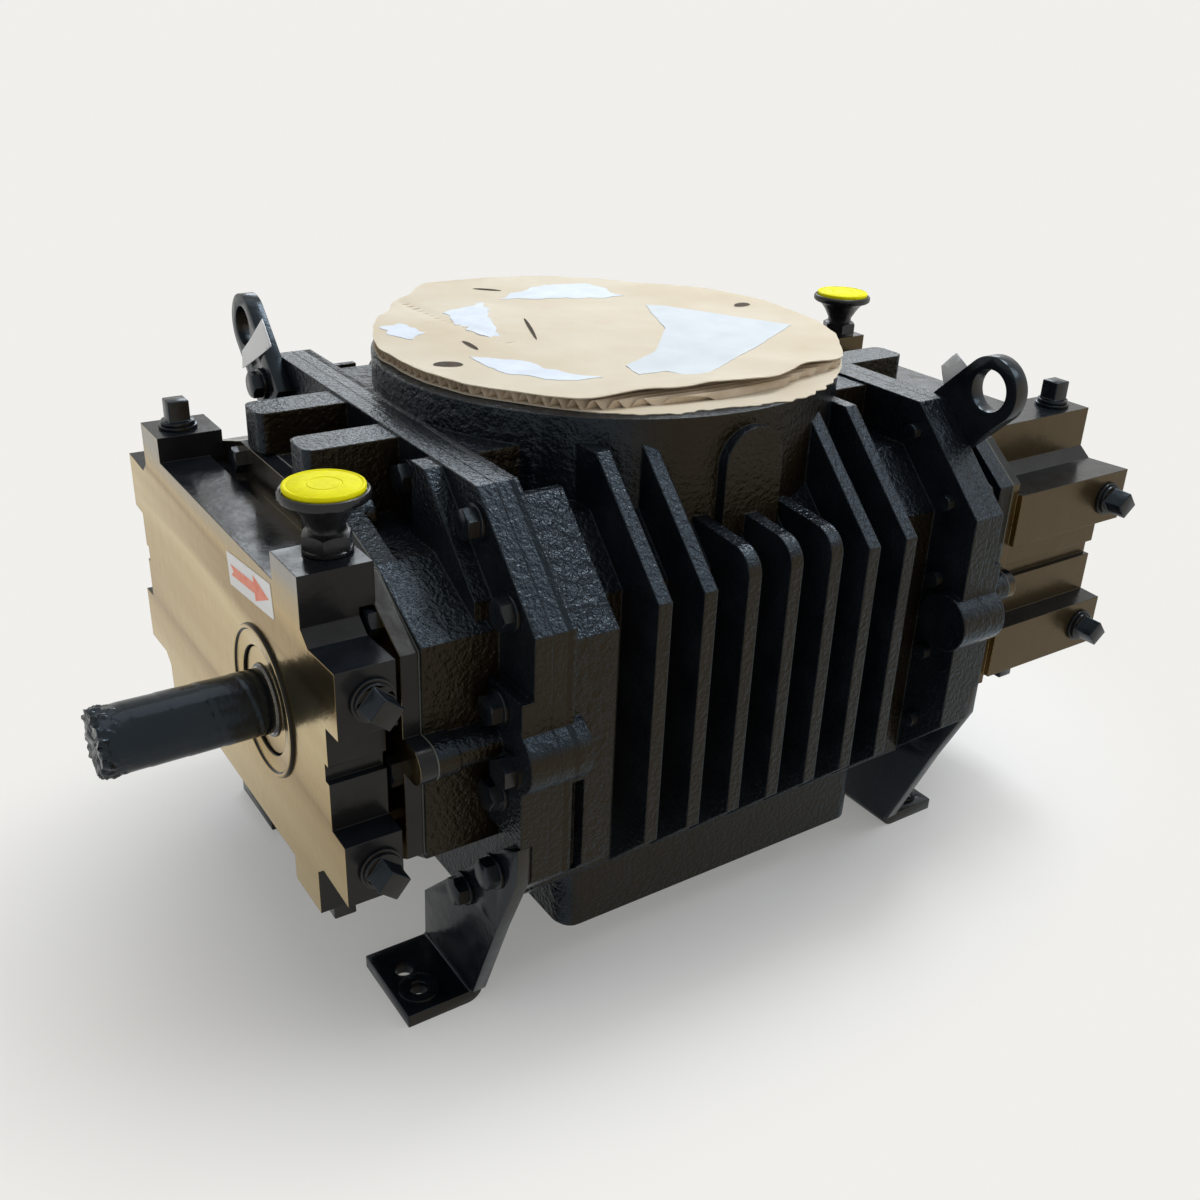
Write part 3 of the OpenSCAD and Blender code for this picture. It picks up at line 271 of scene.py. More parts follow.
def painted_reflection_by_height(tree, coord):
    """The painted reflection of the warm floor on a machined end face, by height: uneven level
    bands of pale tan and brown, and grey at the top."""
    place = coord.outputs["Object"]
    bands = pattern(tree, stretched(tree, place, BAND_STRETCH), BAND_SCALE, 2.0)
    height = combine(tree, "MULTIPLY_ADD", bands, BAND_SHIFT, axes_of(tree, place)["Z"])
    ramp = add(tree, "ShaderNodeValToRGB")
    stops = ramp.color_ramp.elements
    stops[0].position, stops[0].color = 0.0, (*PAINTED_PALE_TAN_REFLECTION, 1)
    stops[1].position, stops[1].color = 1.0, (*PAINTED_GREY_REFLECTION, 1)
    for position, colour in PAINTED_REFLECTION_STEPS:
        stops.new(position).color = (*colour, 1)
    wire(tree, remap(tree, height, *BAND_RANGE), ramp.inputs["Fac"])
    return ramp.outputs["Color"]


def strip_of(tree, coord, start, end):
    """1 between two places along the machine, falling to 0 on both sides."""
    along = axes_of(tree, coord.outputs["Object"])["X"]
    return combine(tree, "MINIMUM", remap(tree, along, start - STRIP_SOFT, start),
                   remap(tree, along, end, end + STRIP_SOFT, 1.0, 0.0))


def bumped(tree, height, depth, normal):
    bump = add(tree, "ShaderNodeBump", Strength=1.0, Distance=depth)
    wire(tree, height, bump.inputs["Height"])
    if normal is not None:
        wire(tree, normal, bump.inputs["Normal"])
    return bump.outputs["Normal"]


def finish(name, dark, light, rough, grain, ior=1.5, metal=0.0, spot=0.03,
           painted_reflections=(), glint=(1.0, 1.0, 1.0), corner=0.0, strip=()):
    """One finish: two colours in blotches, a range of roughness, grain as pairs of size
    and depth in metres, painted reflections as rows of axis, colour, roughness and amount,
    which paint a reflection as smoother metallic colour on faces that look along that axis,
    glint the tint of its highlights, corner the radius to which paint softens the corners,
    and strip a part with coarser grain, as its start, end, size and depth."""
    mat, tree = new_material(name)
    out = add(tree, "ShaderNodeOutputMaterial")
    bsdf = add(tree, "ShaderNodeBsdfPrincipled", IOR=ior, Metallic=metal)
    bsdf.inputs["Specular Tint"].default_value = (*glint, 1)
    wire(tree, bsdf.outputs[0], out.inputs["Surface"])
    coord = add(tree, "ShaderNodeTexCoord")
    place = coord.outputs["Object"]
    colour = blend_colours(tree, blotches(tree, coord, spot, 0.0, 1.0), dark, light)
    roughness = blotches(tree, coord, spot*0.6, *rough)
    masks = []
    # Painted reflection: faces that look along the axis turn to the reflection's colour, smoother
    # and metallic
    for axis, tint, tint_rough, amount in painted_reflections:
        mask = facing(tree, coord, axis, amount)
        tint = painted_reflection_by_height(tree, coord) if tint == PAINTED_REFLECTION_BANDS else tint
        colour = blend_colours(tree, mask, colour, tint)
        smooth = add(tree, "ShaderNodeMapRange", To_Max=tint_rough)
        wire(tree, mask, smooth.inputs["Value"])
        wire(tree, roughness, smooth.inputs["To Min"])
        roughness = smooth.outputs["Result"]
        masks.append(mask)
    wire(tree, colour, bsdf.inputs["Base Color"])
    wire(tree, roughness, bsdf.inputs["Roughness"])
    if masks:
        metallic = masks[0] if len(masks) == 1 else combine(tree, "MAXIMUM", *masks)
        wire(tree, metallic, bsdf.inputs["Metallic"])
    normal = None
    if corner:
        soft = add(tree, "ShaderNodeBevel", Radius=corner)
        soft.samples = 6
        normal = soft.outputs["Normal"]
    for size, depth in grain:
        normal = bumped(tree, pattern(tree, place, 1.0/size, 2.5), depth, normal)
    if strip:
        start, end, size, depth = strip
        height = combine(tree, "MULTIPLY", pattern(tree, place, 1.0/size, 3.0, 0.6),
                         strip_of(tree, coord, start, end))
        normal = bumped(tree, height, depth, normal)
    wire(tree, normal, bsdf.inputs["Normal"])
    FINISHES[name] = mat


COVER_GRAIN = ((0.014, 0.0003), (0.0030, 0.00007))
STEEL_GRAIN = ((0.0008, 0.00001),)
FINE_GRAIN = ((0.001, 0.00002),)
# The covers' end faces take the banded painted reflection
PAINTED_END_REFLECTION = ("X", PAINTED_REFLECTION_BANDS, 0.20, 1.0)

# Each finish's painted reflection rows paint the warm floor's reflection as metallic colour:
# brown on faces that look along Y, and tan bands on the covers' end faces
finish("cast_paint", BLACK, GREY_BLACK, (0.15, 0.26), ((0.0036, 0.0011), (0.0016, 0.00040)),
       ior=1.34, glint=COOL_GLINT, painted_reflections=(("Y", PAINTED_DIM_BROWN_REFLECTION, 0.34, 0.68),), corner=1.8*MM,
       strip=(-168*MM, -128*MM, 0.0078, 0.0032))
finish("plate_paint", BLACK, GREY_BLACK, (0.16, 0.28), ((0.010, 0.0003), (0.0022, 0.00008)),
       ior=1.36, glint=COOL_GLINT, painted_reflections=(("Y", PAINTED_BROWN_REFLECTION, 0.30, 0.30),))
finish("cover_paint", BLACK, GREY_BLACK, (0.16, 0.28), COVER_GRAIN, ior=1.30,
       glint=PALE_GLINT, painted_reflections=(("Y", PAINTED_BROWN_REFLECTION, 0.28, 0.05), PAINTED_END_REFLECTION), corner=1.0*MM)
finish("gear_cover_paint", BLACK, GREY_BLACK, (0.16, 0.28), COVER_GRAIN, ior=1.36,
       glint=PALE_GLINT, painted_reflections=(("Y", PAINTED_BROWN_REFLECTION, 0.28, 0.70), PAINTED_END_REFLECTION), corner=1.0*MM)
finish("bolt_paint", BLACK, GREY_BLACK, (0.14, 0.28), ((0.0040, 0.00010),),
       ior=1.34, glint=COOL_GLINT, spot=0.008, painted_reflections=(("Y", PAINTED_BROWN_REFLECTION, 0.30, 0.22),))
finish("filler_plastic", (0.006, 0.006, 0.007), (0.012, 0.012, 0.013), (0.22, 0.34),
       ((0.0015, 0.00004),), ior=1.4, spot=0.01)
finish("disc_plastic", (0.74, 0.68, 0.002), (0.82, 0.76, 0.004), (0.48, 0.62),
       ((0.0035, 0.00022),), ior=1.18, spot=0.012)
finish("tape", (0.003, 0.0035, 0.005), (0.007, 0.008, 0.010), (0.14, 0.24),
       ((0.016, 0.0005), (0.0035, 0.00010)), ior=1.38, glint=COOL_GLINT)
finish("rotor_iron", (0.13, 0.125, 0.12), (0.20, 0.195, 0.185), (0.32, 0.48),
       ((0.0012, 0.00003),), metal=0.9)
finish("ground_steel", (0.48, 0.47, 0.455), (0.58, 0.57, 0.55), (0.20, 0.34),
       STEEL_GRAIN, metal=1.0)
finish("bearing_steel", (0.62, 0.62, 0.62), (0.70, 0.70, 0.70), (0.10, 0.18),
       STEEL_GRAIN, metal=1.0)
finish("cage_brass", (0.66, 0.48, 0.20), (0.74, 0.56, 0.25), (0.22, 0.36),
       FINE_GRAIN, metal=1.0)
finish("bronze", (0.42, 0.27, 0.13), (0.52, 0.34, 0.17), (0.28, 0.42), FINE_GRAIN, metal=1.0)
finish("gasket_sheet", (0.06, 0.065, 0.055), (0.10, 0.105, 0.09), (0.75, 0.9),
       ((0.001, 0.00006),))
finish("liner_paper", (0.58, 0.485, 0.345), (0.66, 0.585, 0.46), (0.72, 0.88),
       ((0.045, 0.0009), (0.0030, 0.00008)), spot=0.11)
finish("flute_paper", (0.50, 0.39, 0.27), (0.64, 0.52, 0.38), (0.80, 0.92),
       ((0.004, 0.0002),), spot=0.02)
finish("torn_paper", (0.62, 0.66, 0.72), (0.70, 0.745, 0.82), (0.70, 0.86),
       ((0.012, 0.0003), (0.0018, 0.00008)), spot=0.02)
finish("sticker_paper", (0.80, 0.80, 0.79), (0.85, 0.85, 0.84), (0.45, 0.60),
       ((0.003, 0.00004),), spot=0.05)
finish("label_paper", (0.54, 0.57, 0.59), (0.59, 0.62, 0.64), (0.60, 0.75),
       ((0.020, 0.0004), (0.0015, 0.00002)))
# Painted shade inside the cuts of the top liner
finish("slit_painted_shade", (0.03, 0.02, 0.014), (0.08, 0.055, 0.035), (0.8, 0.95),
       ((0.002, 0.0002),), spot=0.004)
finish("arrow_ink", (0.80, 0.16, 0.07), (0.88, 0.26, 0.14), (0.35, 0.5),
       ((0.002, 0.00002),), spot=0.006)


# Steps that build a shape

def keep(name, bm, body, finishes, nodes=(), sharp=32):
    """Makes the finished shape a piece that rides on its body."""
    bmesh.ops.remove_doubles(bm, verts=bm.verts, dist=1e-6)
    bmesh.ops.recalc_face_normals(bm, faces=bm.faces)
    mesh = bpy.data.meshes.new(name)
    bm.to_mesh(mesh)
    bm.free()
    for key in finishes:
        mesh.materials.append(FINISHES[key])
    mesh.polygons.foreach_set("use_smooth", [True]*len(mesh.polygons))
    mesh.set_sharp_from_angle(angle=math.radians(sharp))
    piece = bpy.data.objects.new(name, mesh)
    scene.collection.objects.link(piece)
    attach(piece, body)
    if nodes:
        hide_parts(*nodes)


def corners_of(geometry):
    return [g for g in geometry if isinstance(g, bmesh.types.BMVert)]


def spun(bm, profile, centre, axis, steps):
    """Spins a chain of points all the way round an axis."""
    points = [bm.verts.new(point) for point in profile]
    edges = [bm.edges.new(pair) for pair in zip(points, points[1:])]
    bmesh.ops.spin(bm, geom=points + edges, cent=centre, axis=axis, angle=math.tau,
                   steps=steps, use_merge=True)


def next_ring(bm, edges):
    """Continues an open edge by one ring of faces, and gives its new edges and points."""
    made = bmesh.ops.extrude_edge_only(bm, edges=edges)["geom"]
    return [g for g in made if isinstance(g, bmesh.types.BMEdge)], corners_of(made)


def give_thickness(bm, thickness):
    """Makes a wall of an open sheet: a second skin that far above it, or below it."""
    made = bmesh.ops.extrude_face_region(bm, geom=list(bm.faces))["geom"]
    bmesh.ops.translate(bm, verts=corners_of(made), vec=(0, 0, thickness))


def cut_in_steps(bm, axis, start, end, step):
    """Cuts a shape across one axis at even steps, so that it can bend there."""
    normal = Vector([1 if i == axis else 0 for i in range(3)])
    cut = start
    while cut < end:
        bmesh.ops.bisect_plane(bm, geom=bm.verts[:] + bm.edges[:] + bm.faces[:],
                               dist=1e-6, plane_co=normal*cut, plane_no=normal)
        cut += step


def add_pattern(bm, mesh, pose):
    """Puts a mesh into the shape at a pose, and removes the mesh."""
    fresh = len(bm.verts)
    bm.from_mesh(mesh)
    bpy.data.meshes.remove(mesh)
    bm.verts.ensure_lookup_table()
    bmesh.ops.transform(bm, matrix=pose, verts=bm.verts[fresh:])


JOIN_WITHIN = 0.02*MM
FLAT_ANGLE = math.radians(0.3)
CORNER_ANGLE = math.radians(35)


def merged(node):
    """The node's shape with its doubled points joined and its flat faces whole."""
    bm = bmesh.new()
    bm.from_mesh(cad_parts[node].data)
    bmesh.ops.remove_doubles(bm, verts=bm.verts, dist=JOIN_WITHIN)
    bmesh.ops.dissolve_limit(bm, angle_limit=FLAT_ANGLE, verts=bm.verts, edges=bm.edges)
    return bm


def rounded(node, key, radius):
    """The node's shape with its corners rounded, as thick paint leaves them."""
    bm = merged(node)
    corners = [e for e in bm.edges
               if len(e.link_faces) == 2 and e.calc_face_angle(0) > CORNER_ANGLE]
    bmesh.ops.bevel(bm, geom=corners, offset=radius, offset_type="OFFSET", affect="EDGES",
                    segments=2, profile=0.5, material=-1, clamp_overlap=False)
    keep(node + "_rounded", bm, "frame", (key,), (node,))


def islands(node):
    """The boxes of a node's separate solids, as pairs of lowest and highest corner."""
    bm = merged(node)
    left = set(bm.verts)
    boxes = []
    while left:
        heap = [left.pop()]
        found = []
        while heap:
            point = heap.pop()
            found.append(point.co.copy())
            for edge in point.link_edges:
                other = edge.other_vert(point)
                if other in left:
                    left.remove(other)
                    heap.append(other)
        low = Vector([min(p[i] for p in found) for i in range(3)])
        high = Vector([max(p[i] for p in found) for i in range(3)])
        boxes.append((low, high))
    bm.free()
    return sorted(boxes, key=lambda box: tuple(round(c, 5) for c in box[0] + box[1]))


# Plates, plugs and washers with softened corners

PLATE_ROUND = 0.7*MM
PLUG_ROUND = 0.9*MM
WASHER_ROUND = 0.4*MM
for plate in ("drive_near_foot", "drive_far_foot", "gear_near_foot", "gear_far_foot",
              "drive_lifting_eye", "gear_lifting_eye"):
    rounded(plate, "plate_paint", PLATE_ROUND)
rounded("oil_plugs", "bolt_paint", PLUG_ROUND)
rounded("plug_washers", "bolt_paint", WASHER_ROUND)
rounded("foot_washers", "bolt_paint", WASHER_ROUND)


# Hexagon bolts

ROUND_SEGMENTS = 36
CHAMFER_SHARE = 0.94
CHAMFER_FALL = math.tan(math.radians(30))
BOLT_EDGE = 0.5*MM
TURN_STEP = 28.9


def hexagon_bolt(across, head, washer_r=0, washer_t=0, shank_r=0, under=0):
    """A bolt that stands on z = 0 with its washer, head upwards, and its shank below."""
    bm = bmesh.new()
    flat = across/2
    base = bmesh.ops.create_circle(bm, cap_ends=True, segments=ROUND_SEGMENTS,
                                   radius=flat)["verts"]
    for point in base:
        bearing = math.degrees(math.atan2(point.co.y, point.co.x)) % 60
        point.co *= 1/math.cos(math.radians(bearing - 30))
    face = base[0].link_faces[0]
    bmesh.ops.translate(bm, verts=base, vec=(0, 0, washer_t))
    side = bmesh.ops.extrude_face_region(bm, geom=[face])["geom"]
    for point in corners_of(side):
        out = point.co.xy.length - CHAMFER_SHARE*flat
        point.co.z = washer_t + head - out*CHAMFER_FALL
    top = next(f for f in side if isinstance(f, bmesh.types.BMFace))
    crown = bmesh.ops.extrude_face_region(bm, geom=[top])["geom"]
    bmesh.ops.delete(bm, geom=[top], context="FACES_ONLY")
    for point in corners_of(crown):
        point.co.xy = point.co.xy.normalized()*CHAMFER_SHARE*flat
        point.co.z = washer_t + head
    for radius, low, high in ((washer_r, 0.0, washer_t), (shank_r, -under, 0.0)):
        if radius and high > low:
            rod = bmesh.ops.create_cone(
                bm, cap_ends=True, segments=ROUND_SEGMENTS, radius1=radius, radius2=radius,
                depth=high - low, matrix=Matrix.Translation((0, 0, (low + high)/2)))["verts"]
            rims = dict.fromkeys(e for v in rod for e in v.link_edges
                                 if len(e.link_faces) == 2 and e.calc_face_angle(0) > 1)
            bmesh.ops.bevel(bm, geom=list(rims), offset=BOLT_EDGE, affect="EDGES", segments=2,
                            profile=0.5, material=-1, clamp_overlap=True)
    mesh = bpy.data.meshes.new("bolt_pattern")
    bm.to_mesh(mesh)
    bm.free()
    return mesh


def bolts_for(node, across, head, washer_r, washer_t, shank_r):
    """Chamfered bolts in place of a node's plain ones, each turned a little further."""
    bm = bmesh.new()
    for count, (low, high) in enumerate(islands(node)):
        middle = (low + high)/2
        way = 1 if middle.x > 0 else -1
        outer = high.x if way > 0 else low.x
        top = head + washer_t
        mesh = hexagon_bolt(across, head, washer_r, washer_t, shank_r, high.x - low.x - top)
        pose = (Matrix.Translation((outer - way*top, middle.y, middle.z))
                @ Vector((way, 0, 0)).to_track_quat("Z", "Y").to_matrix().to_4x4()
                @ Matrix.Rotation(math.radians(TURN_STEP*count), 4, "Z"))
        add_pattern(bm, mesh, pose)
    keep(node + "_chamfered", bm, "frame", ("bolt_paint",), (node,))


bolts_for("flange_bolts", 18*MM, 7.5*MM, 11.88*MM, 2.5*MM, 6*MM)
bolts_for("foot_bolts", 18*MM, 7.5*MM, 11.88*MM, 2.5*MM, 6*MM)
bolts_for("eye_bolts", 18*MM, 7.5*MM, 11.88*MM, 3*MM, 6*MM)
bolts_for("drive_cover_bolts", 16*MM, 6.5*MM, 0, 0, 5*MM)
bolts_for("gear_cover_bolts", 16*MM, 6.5*MM, 10.5*MM, 6*MM, 5*MM)


# Oil fillers: spun bodies with a hexagon, and the yellow discs on them

FILLERS = (Vector((-271.3, -124.5, 343))*MM, Vector((357, 124.5, 343))*MM)
FILLER_PROFILE = (
    (0, -12), (10, -12), (10.5, -11.5), (10.5, 0), (14.2, 0), (15, 0.6), (15, 2.4),
    (14.2, 3), (11.8, 3.2), (11.8, 12.8), (11, 13.4), (11, 16.6), (11.6, 17.6),
    (12.6, 19.4), (14.8, 23.4), (17.6, 27.4), (20.6, 30.6), (22.6, 31.7),
    (24.9, 32.1), (25.8, 32.7), (26.2, 33.6), (26.2, 36.8), (25.7, 37.7),
    (24.9, 38.1), (24.3, 37.8), (23.9, 36.6), (0, 36.6))
DISC_PROFILE = (
    (0, 36.8), (23.2, 36.8), (23.6, 37.4), (23.8, 39.6), (23.4, 40.6), (22.6, 41.0),
    (21.9, 40.9), (21.5, 40.5), (20.9, 40.4), (20.4, 40.7), (10.6, 40.8),
    (10.2, 40.5), (9.7, 40.5), (9.3, 40.8), (0, 40.8))
FILLER_STEPS = 64
FILLER_RIM_R = 26.2*MM
RIDGES = 32
RIDGE_DEPTH = 0.35*MM
NUT_ACROSS, NUT_HEIGHT, NUT_UP = 27*MM, 9.6*MM, 3.1*MM


def spun_upright(bm, profile, place):
    points = [place + Vector((radius, 0, height))*MM for radius, height in profile]
    spun(bm, points, place, (0, 0, 1), FILLER_STEPS)


def ridge_rim(bm, place):
    """Fine ridges round a filler's rim, for the fingers."""
    for point in bm.verts:
        out = point.co.xy - place.xy
        if abs(out.length - FILLER_RIM_R) < 0.1*MM:
            bearing = math.atan2(out.y, out.x)
            point.co.xy += out.normalized()*RIDGE_DEPTH*math.cos(RIDGES*bearing)


def fillers():
    bm = bmesh.new()
    for place in FILLERS:
        spun_upright(bm, FILLER_PROFILE, place)
        ridge_rim(bm, place)
        add_pattern(bm, hexagon_bolt(NUT_ACROSS, NUT_HEIGHT),
                    Matrix.Translation(place + Vector((0, 0, NUT_UP))))
    keep("filler_bodies_spun", bm, "frame", ("filler_plastic",),
         ("filler_bodies",))
    bm = bmesh.new()
    for place in FILLERS:
        spun_upright(bm, DISC_PROFILE, place)
    keep("filler_discs_spun", bm, "frame", ("disc_plastic",), ("filler_discs",))


fillers()


# Seal carrier: a ring that stands a little proud of the cover, with a groove

SEAL_FACE_X = -300.3*MM
SEAL_PROFILE = (
    (36, -15.5), (50.3, -15.5), (50.3, 1.9), (49.7, 2.7), (48.8, 3.0), (47.6, 2.7),
    (46.9, 1.9), (46.4, 1.3), (45.6, 1.1), (37.2, 1.1), (36.4, 0.8), (36, 0.2), (36, -15.5))
SEAL_STEPS = 96


def seal_ring():
    bm = bmesh.new()
    points = [(SEAL_FACE_X - out*MM, DRIVE_Y, AXIS_UP + radius*MM)
              for radius, out in SEAL_PROFILE]
    spun(bm, points, (SEAL_FACE_X, DRIVE_Y, AXIS_UP), (1, 0, 0), SEAL_STEPS)
    keep("seal_carrier_ring", bm, "frame", ("cover_paint",), ("seal_carrier",))


seal_ring()


# Tape wound round the free end of the shaft

TAPE_START, TAPE_END = -300.5*MM, -402.2*MM
TAPE_R = 21.15*MM
TAPE_RINGS = 84
TAPE_AROUND = 96
TAPE_PITCH = 23*MM
TAPE_LAP = 0.50*MM
TAPE_TIP = ((0.96, 1.6), (0.84, 2.2), (0.66, 1.6), (0.46, 0.9), (0.26, 0.7), (0.1, 0.4))
TIP_FOLD = 3.2*MM
GATHER_FROM, GATHER_OVER, GATHER_DEPTH = 86*MM, 16*MM, 2.6*MM
RIPPLE = 0.10*MM


def wind_tape(point):
    """Moves a point of the bare tube out to the tape's surface there: the spiral lap, a
    ripple, and the gathered folds near the tip."""
    side = Vector((point.co.y - DRIVE_Y, point.co.z - AXIS_UP))
    if side.length < 0.9*TAPE_R:
        return
    along = TAPE_START - point.co.x
    bearing = math.atan2(side.y, side.x)/math.tau
    turn = (along/TAPE_PITCH + bearing) % 1.0
    lap = TAPE_LAP*min(1.0, (1 - turn)*16)*(0.35 + 0.65*turn)
    near_end = max(0.0, (along - GATHER_FROM)/GATHER_OVER)
    ripple = RIPPLE*noise.noise(Vector((along*120, bearing*9, 2.0)))
    twist = math.tau*(bearing + along*4.0)
    folds = noise.noise(Vector((along*230, math.cos(twist)*6, math.sin(twist)*6)))
    gather = GATHER_DEPTH*near_end*(abs(folds)*1.6 - 0.35)
    side += side.normalized()*(lap + ripple + gather + 0.2*MM*near_end)
    point.co.y, point.co.z = DRIVE_Y + side.x, AXIS_UP + side.y


def tape_wrap():
    bm = bmesh.new()
    bmesh.ops.create_circle(bm, cap_ends=False, segments=TAPE_AROUND, radius=TAPE_R,
                            matrix=Matrix.Translation((TAPE_START, DRIVE_Y, AXIS_UP))
                            @ Matrix.Rotation(math.pi/2, 4, "Y"))
    edges = list(bm.edges)
    for _ in range(TAPE_RINGS):
        edges, points = next_ring(bm, edges)
        bmesh.ops.translate(bm, verts=points, vec=((TAPE_END - TAPE_START)/TAPE_RINGS, 0, 0))
    for shrink, out in TAPE_TIP:
        edges, points = next_ring(bm, edges)
        for point in points:
            side = Vector((point.co.y - DRIVE_Y, point.co.z - AXIS_UP)).normalized()
            side *= TAPE_R*shrink
            fold = abs(noise.noise(Vector((side.x*190, side.y*190, shrink*5))))
            point.co = (TAPE_END - out*MM - TIP_FOLD*fold, DRIVE_Y + side.x, AXIS_UP + side.y)
    bmesh.ops.holes_fill(bm, edges=edges, sides=0)
    for point in bm.verts:
        wind_tape(point)
    keep("shaft_tape", bm, "drive_line", ("tape",), sharp=38)


tape_wrap()


# Corrugated transport cover, torn out by hand

BOARD_R = 178*MM
BOARD_EDGE = (
    (-163, -19), (-144, -22), (-125, -19), (-113, -18), (-96, -21), (-86, -16), (-74, -9),
    (-54, -8), (-33, -5), (-19, 1), (-1, 7), (17, 15), (32, 21), (47, 17), (58, 25), (75, 33),
    (87, 36), (99, 41), (114, 15), (131, -2), (151, -9), (162, -11), (177, -17))
TOP_UP, TOP_T = 408*MM, 0.7*MM
BOTTOM_UP, BOTTOM_T, BOTTOM_LEAST = 400.2*MM, 0.6*MM, 400.1*MM
FLUTE_LOW = 400.9*MM
FLUTE_PITCH = 8.6*MM
FLUTE_T = 0.35*MM
FLUTE_ROWS = (-158*MM, 206*MM)
HALVINGS = 14
LINER_AROUND = 300
LINER_RINGS = (0.985, 0.965, 0.94, 0.91, 0.87, 0.82, 0.77, 0.71, 0.65, 0.58, 0.51, 0.44,
               0.36, 0.28, 0.2, 0.12, 0.05)
CREASE = ((-86, 160), (-84, 101), (-75, 57), (-72, 29), (-60, -20))
CREASE_REACH = 7*MM
TORN_START, TORN_END, TORN_SOFT = -110, -64, 22


def eased(part):
    """A smooth rise from 0 to 1."""
    return part*part*(3 - 2*part)


def board_reach(bearing):
    """The cover's radius on a bearing in degrees, with the torn edge's unevenness."""
    bearing = (bearing + 180) % 360 - 180
    rows = ((BOARD_EDGE[-1][0] - 360, BOARD_EDGE[-1][1]), *BOARD_EDGE,
            (BOARD_EDGE[0][0] + 360, BOARD_EDGE[0][1]))
    for (a0, r0), (a1, r1) in zip(rows, rows[1:]):
        if a0 <= bearing <= a1:
            part = eased((bearing - a0)/(a1 - a0))
            break
    ragged = 0.9*MM*noise.noise(Vector((math.cos(math.radians(bearing))*14,
                                        math.sin(math.radians(bearing))*14, 0.5)))
    return BOARD_R + (r0 + (r1 - r0)*part)*MM + ragged


def bearing_of(point):
    return math.degrees(math.atan2(point.y, point.x))


def torn_stretch(bearing):
    """How far the layers have come apart at the edge on a bearing, from 0 to 1."""
    inside = min(bearing - TORN_START, TORN_END - bearing)
    return eased(max(0.0, min(1.0, 1 + inside/TORN_SOFT)))


def liner(name, height, thickness, shape, nodes=()):
    """One paper layer of the cover: rings from the edge to the middle, shaped, then given
    its thickness."""
    bm = bmesh.new()
    bmesh.ops.create_circle(bm, cap_ends=False, segments=LINER_AROUND, radius=1.0)
    edges = list(bm.edges)
    for share in LINER_RINGS:
        edges, points = next_ring(bm, edges)
        for point in points:
            point.co = point.co.normalized()*share
    bmesh.ops.holes_fill(bm, edges=edges, sides=0)
    for point in bm.verts:
        share = point.co.length
        bearing = bearing_of(point.co)
        point.co = point.co.normalized()*share*board_reach(bearing)
        point.co.z = height
        shape(point, share, bearing)
    give_thickness(bm, thickness)
    keep(name, bm, "loose_cover", ("liner_paper",), nodes, sharp=50)


def crease_depth(point):
    """How near a point of the top liner is to the fold across its left part, from 0 to 1."""
    nearest = 1.0
    for (ax, ay), (bx, by) in zip(CREASE, CREASE[1:]):
        a = Vector((ax, ay))*MM
        b = Vector((bx, by))*MM
        along = max(0.0, min(1.0, (point.xy - a).dot(b - a)/(b - a).length_squared))
        nearest = min(nearest, (point.xy - (a + (b - a)*along)).length)
    return max(0.0, 1 - nearest/CREASE_REACH)


def shape_top(point, share, bearing):
    """Waves and the crease in the top liner, which lifts and draws back where it is torn."""
    sway = noise.noise(Vector((point.co.x*11, point.co.y*11, 3.0)))
    fine = noise.noise(Vector((point.co.x*45, point.co.y*45, 7.0)))
    lift = 1.1*MM*sway + 0.35*MM*fine
    lift -= 1.3*MM*crease_depth(point.co)
    rise = torn_stretch(bearing)*max(0.0, (share - 0.55)/0.45)
    lift += 4.2*MM*rise + 0.6*MM*rise*math.sin(math.radians(bearing*11))
    point.co.z += lift
    point.co.xy *= 1 - 0.105*rise


def shape_bottom(point, share, bearing):
    """The bottom liner's ragged lip where the layers are torn."""
    torn = torn_stretch(bearing)
    ragged = noise.noise(Vector((bearing*0.35, 0.0, 4.0)))
    if share > 0.9:
        point.co.xy *= 1 + torn*(0.012 + 0.022*ragged)*(share - 0.9)/0.1
    point.co.z -= 0.6*MM*torn*max(0.0, (share - 0.85)/0.15)
    point.co.z = max(point.co.z, BOTTOM_LEAST)


def row_end(across, way):
    """Where a row of the flutes meets the cover's edge, found by halving."""
    inner, outer = 0.0, 230*MM
    for _ in range(HALVINGS):
        x = (inner + outer)/2
        place = Vector((way*x, across, 0))
        if place.length < board_reach(bearing_of(place)) - 1.2*MM:
            inner = x
        else:
            outer = x
    return way*inner


def flutes():
    """The waved middle layer, with its waves across Y, cut to the cover's outline."""
    low, high = FLUTE_ROWS
    count = round((high - low)/FLUTE_PITCH)
    bm = bmesh.new()
    bmesh.ops.create_grid(bm, x_segments=8, y_segments=count*8, size=0.5)
    height = TOP_UP - TOP_T - FLUTE_LOW
    for point in bm.verts:
        across = low + (point.co.y + 0.5)*(high - low)
        left, right = row_end(across, -1), row_end(across, 1)
        place = Vector((left + (right - left)*(point.co.x + 0.5), across, 0))
        wave = math.sin(math.tau*across/FLUTE_PITCH)
        torn = torn_stretch(bearing_of(place))*max(0.0, place.length/BOARD_R - 0.7)/0.3
        crush = 1 - 0.35*torn
        point.co = place*(1 - 0.14*torn)
        point.co.z = FLUTE_LOW + height*crush*(0.5 + 0.48*max(-1, min(1, wave*1.25)))
    bmesh.ops.solidify(bm, geom=bm.faces, thickness=FLUTE_T)
    keep("cover_flutes", bm, "loose_cover", ("flute_paper",), sharp=70)


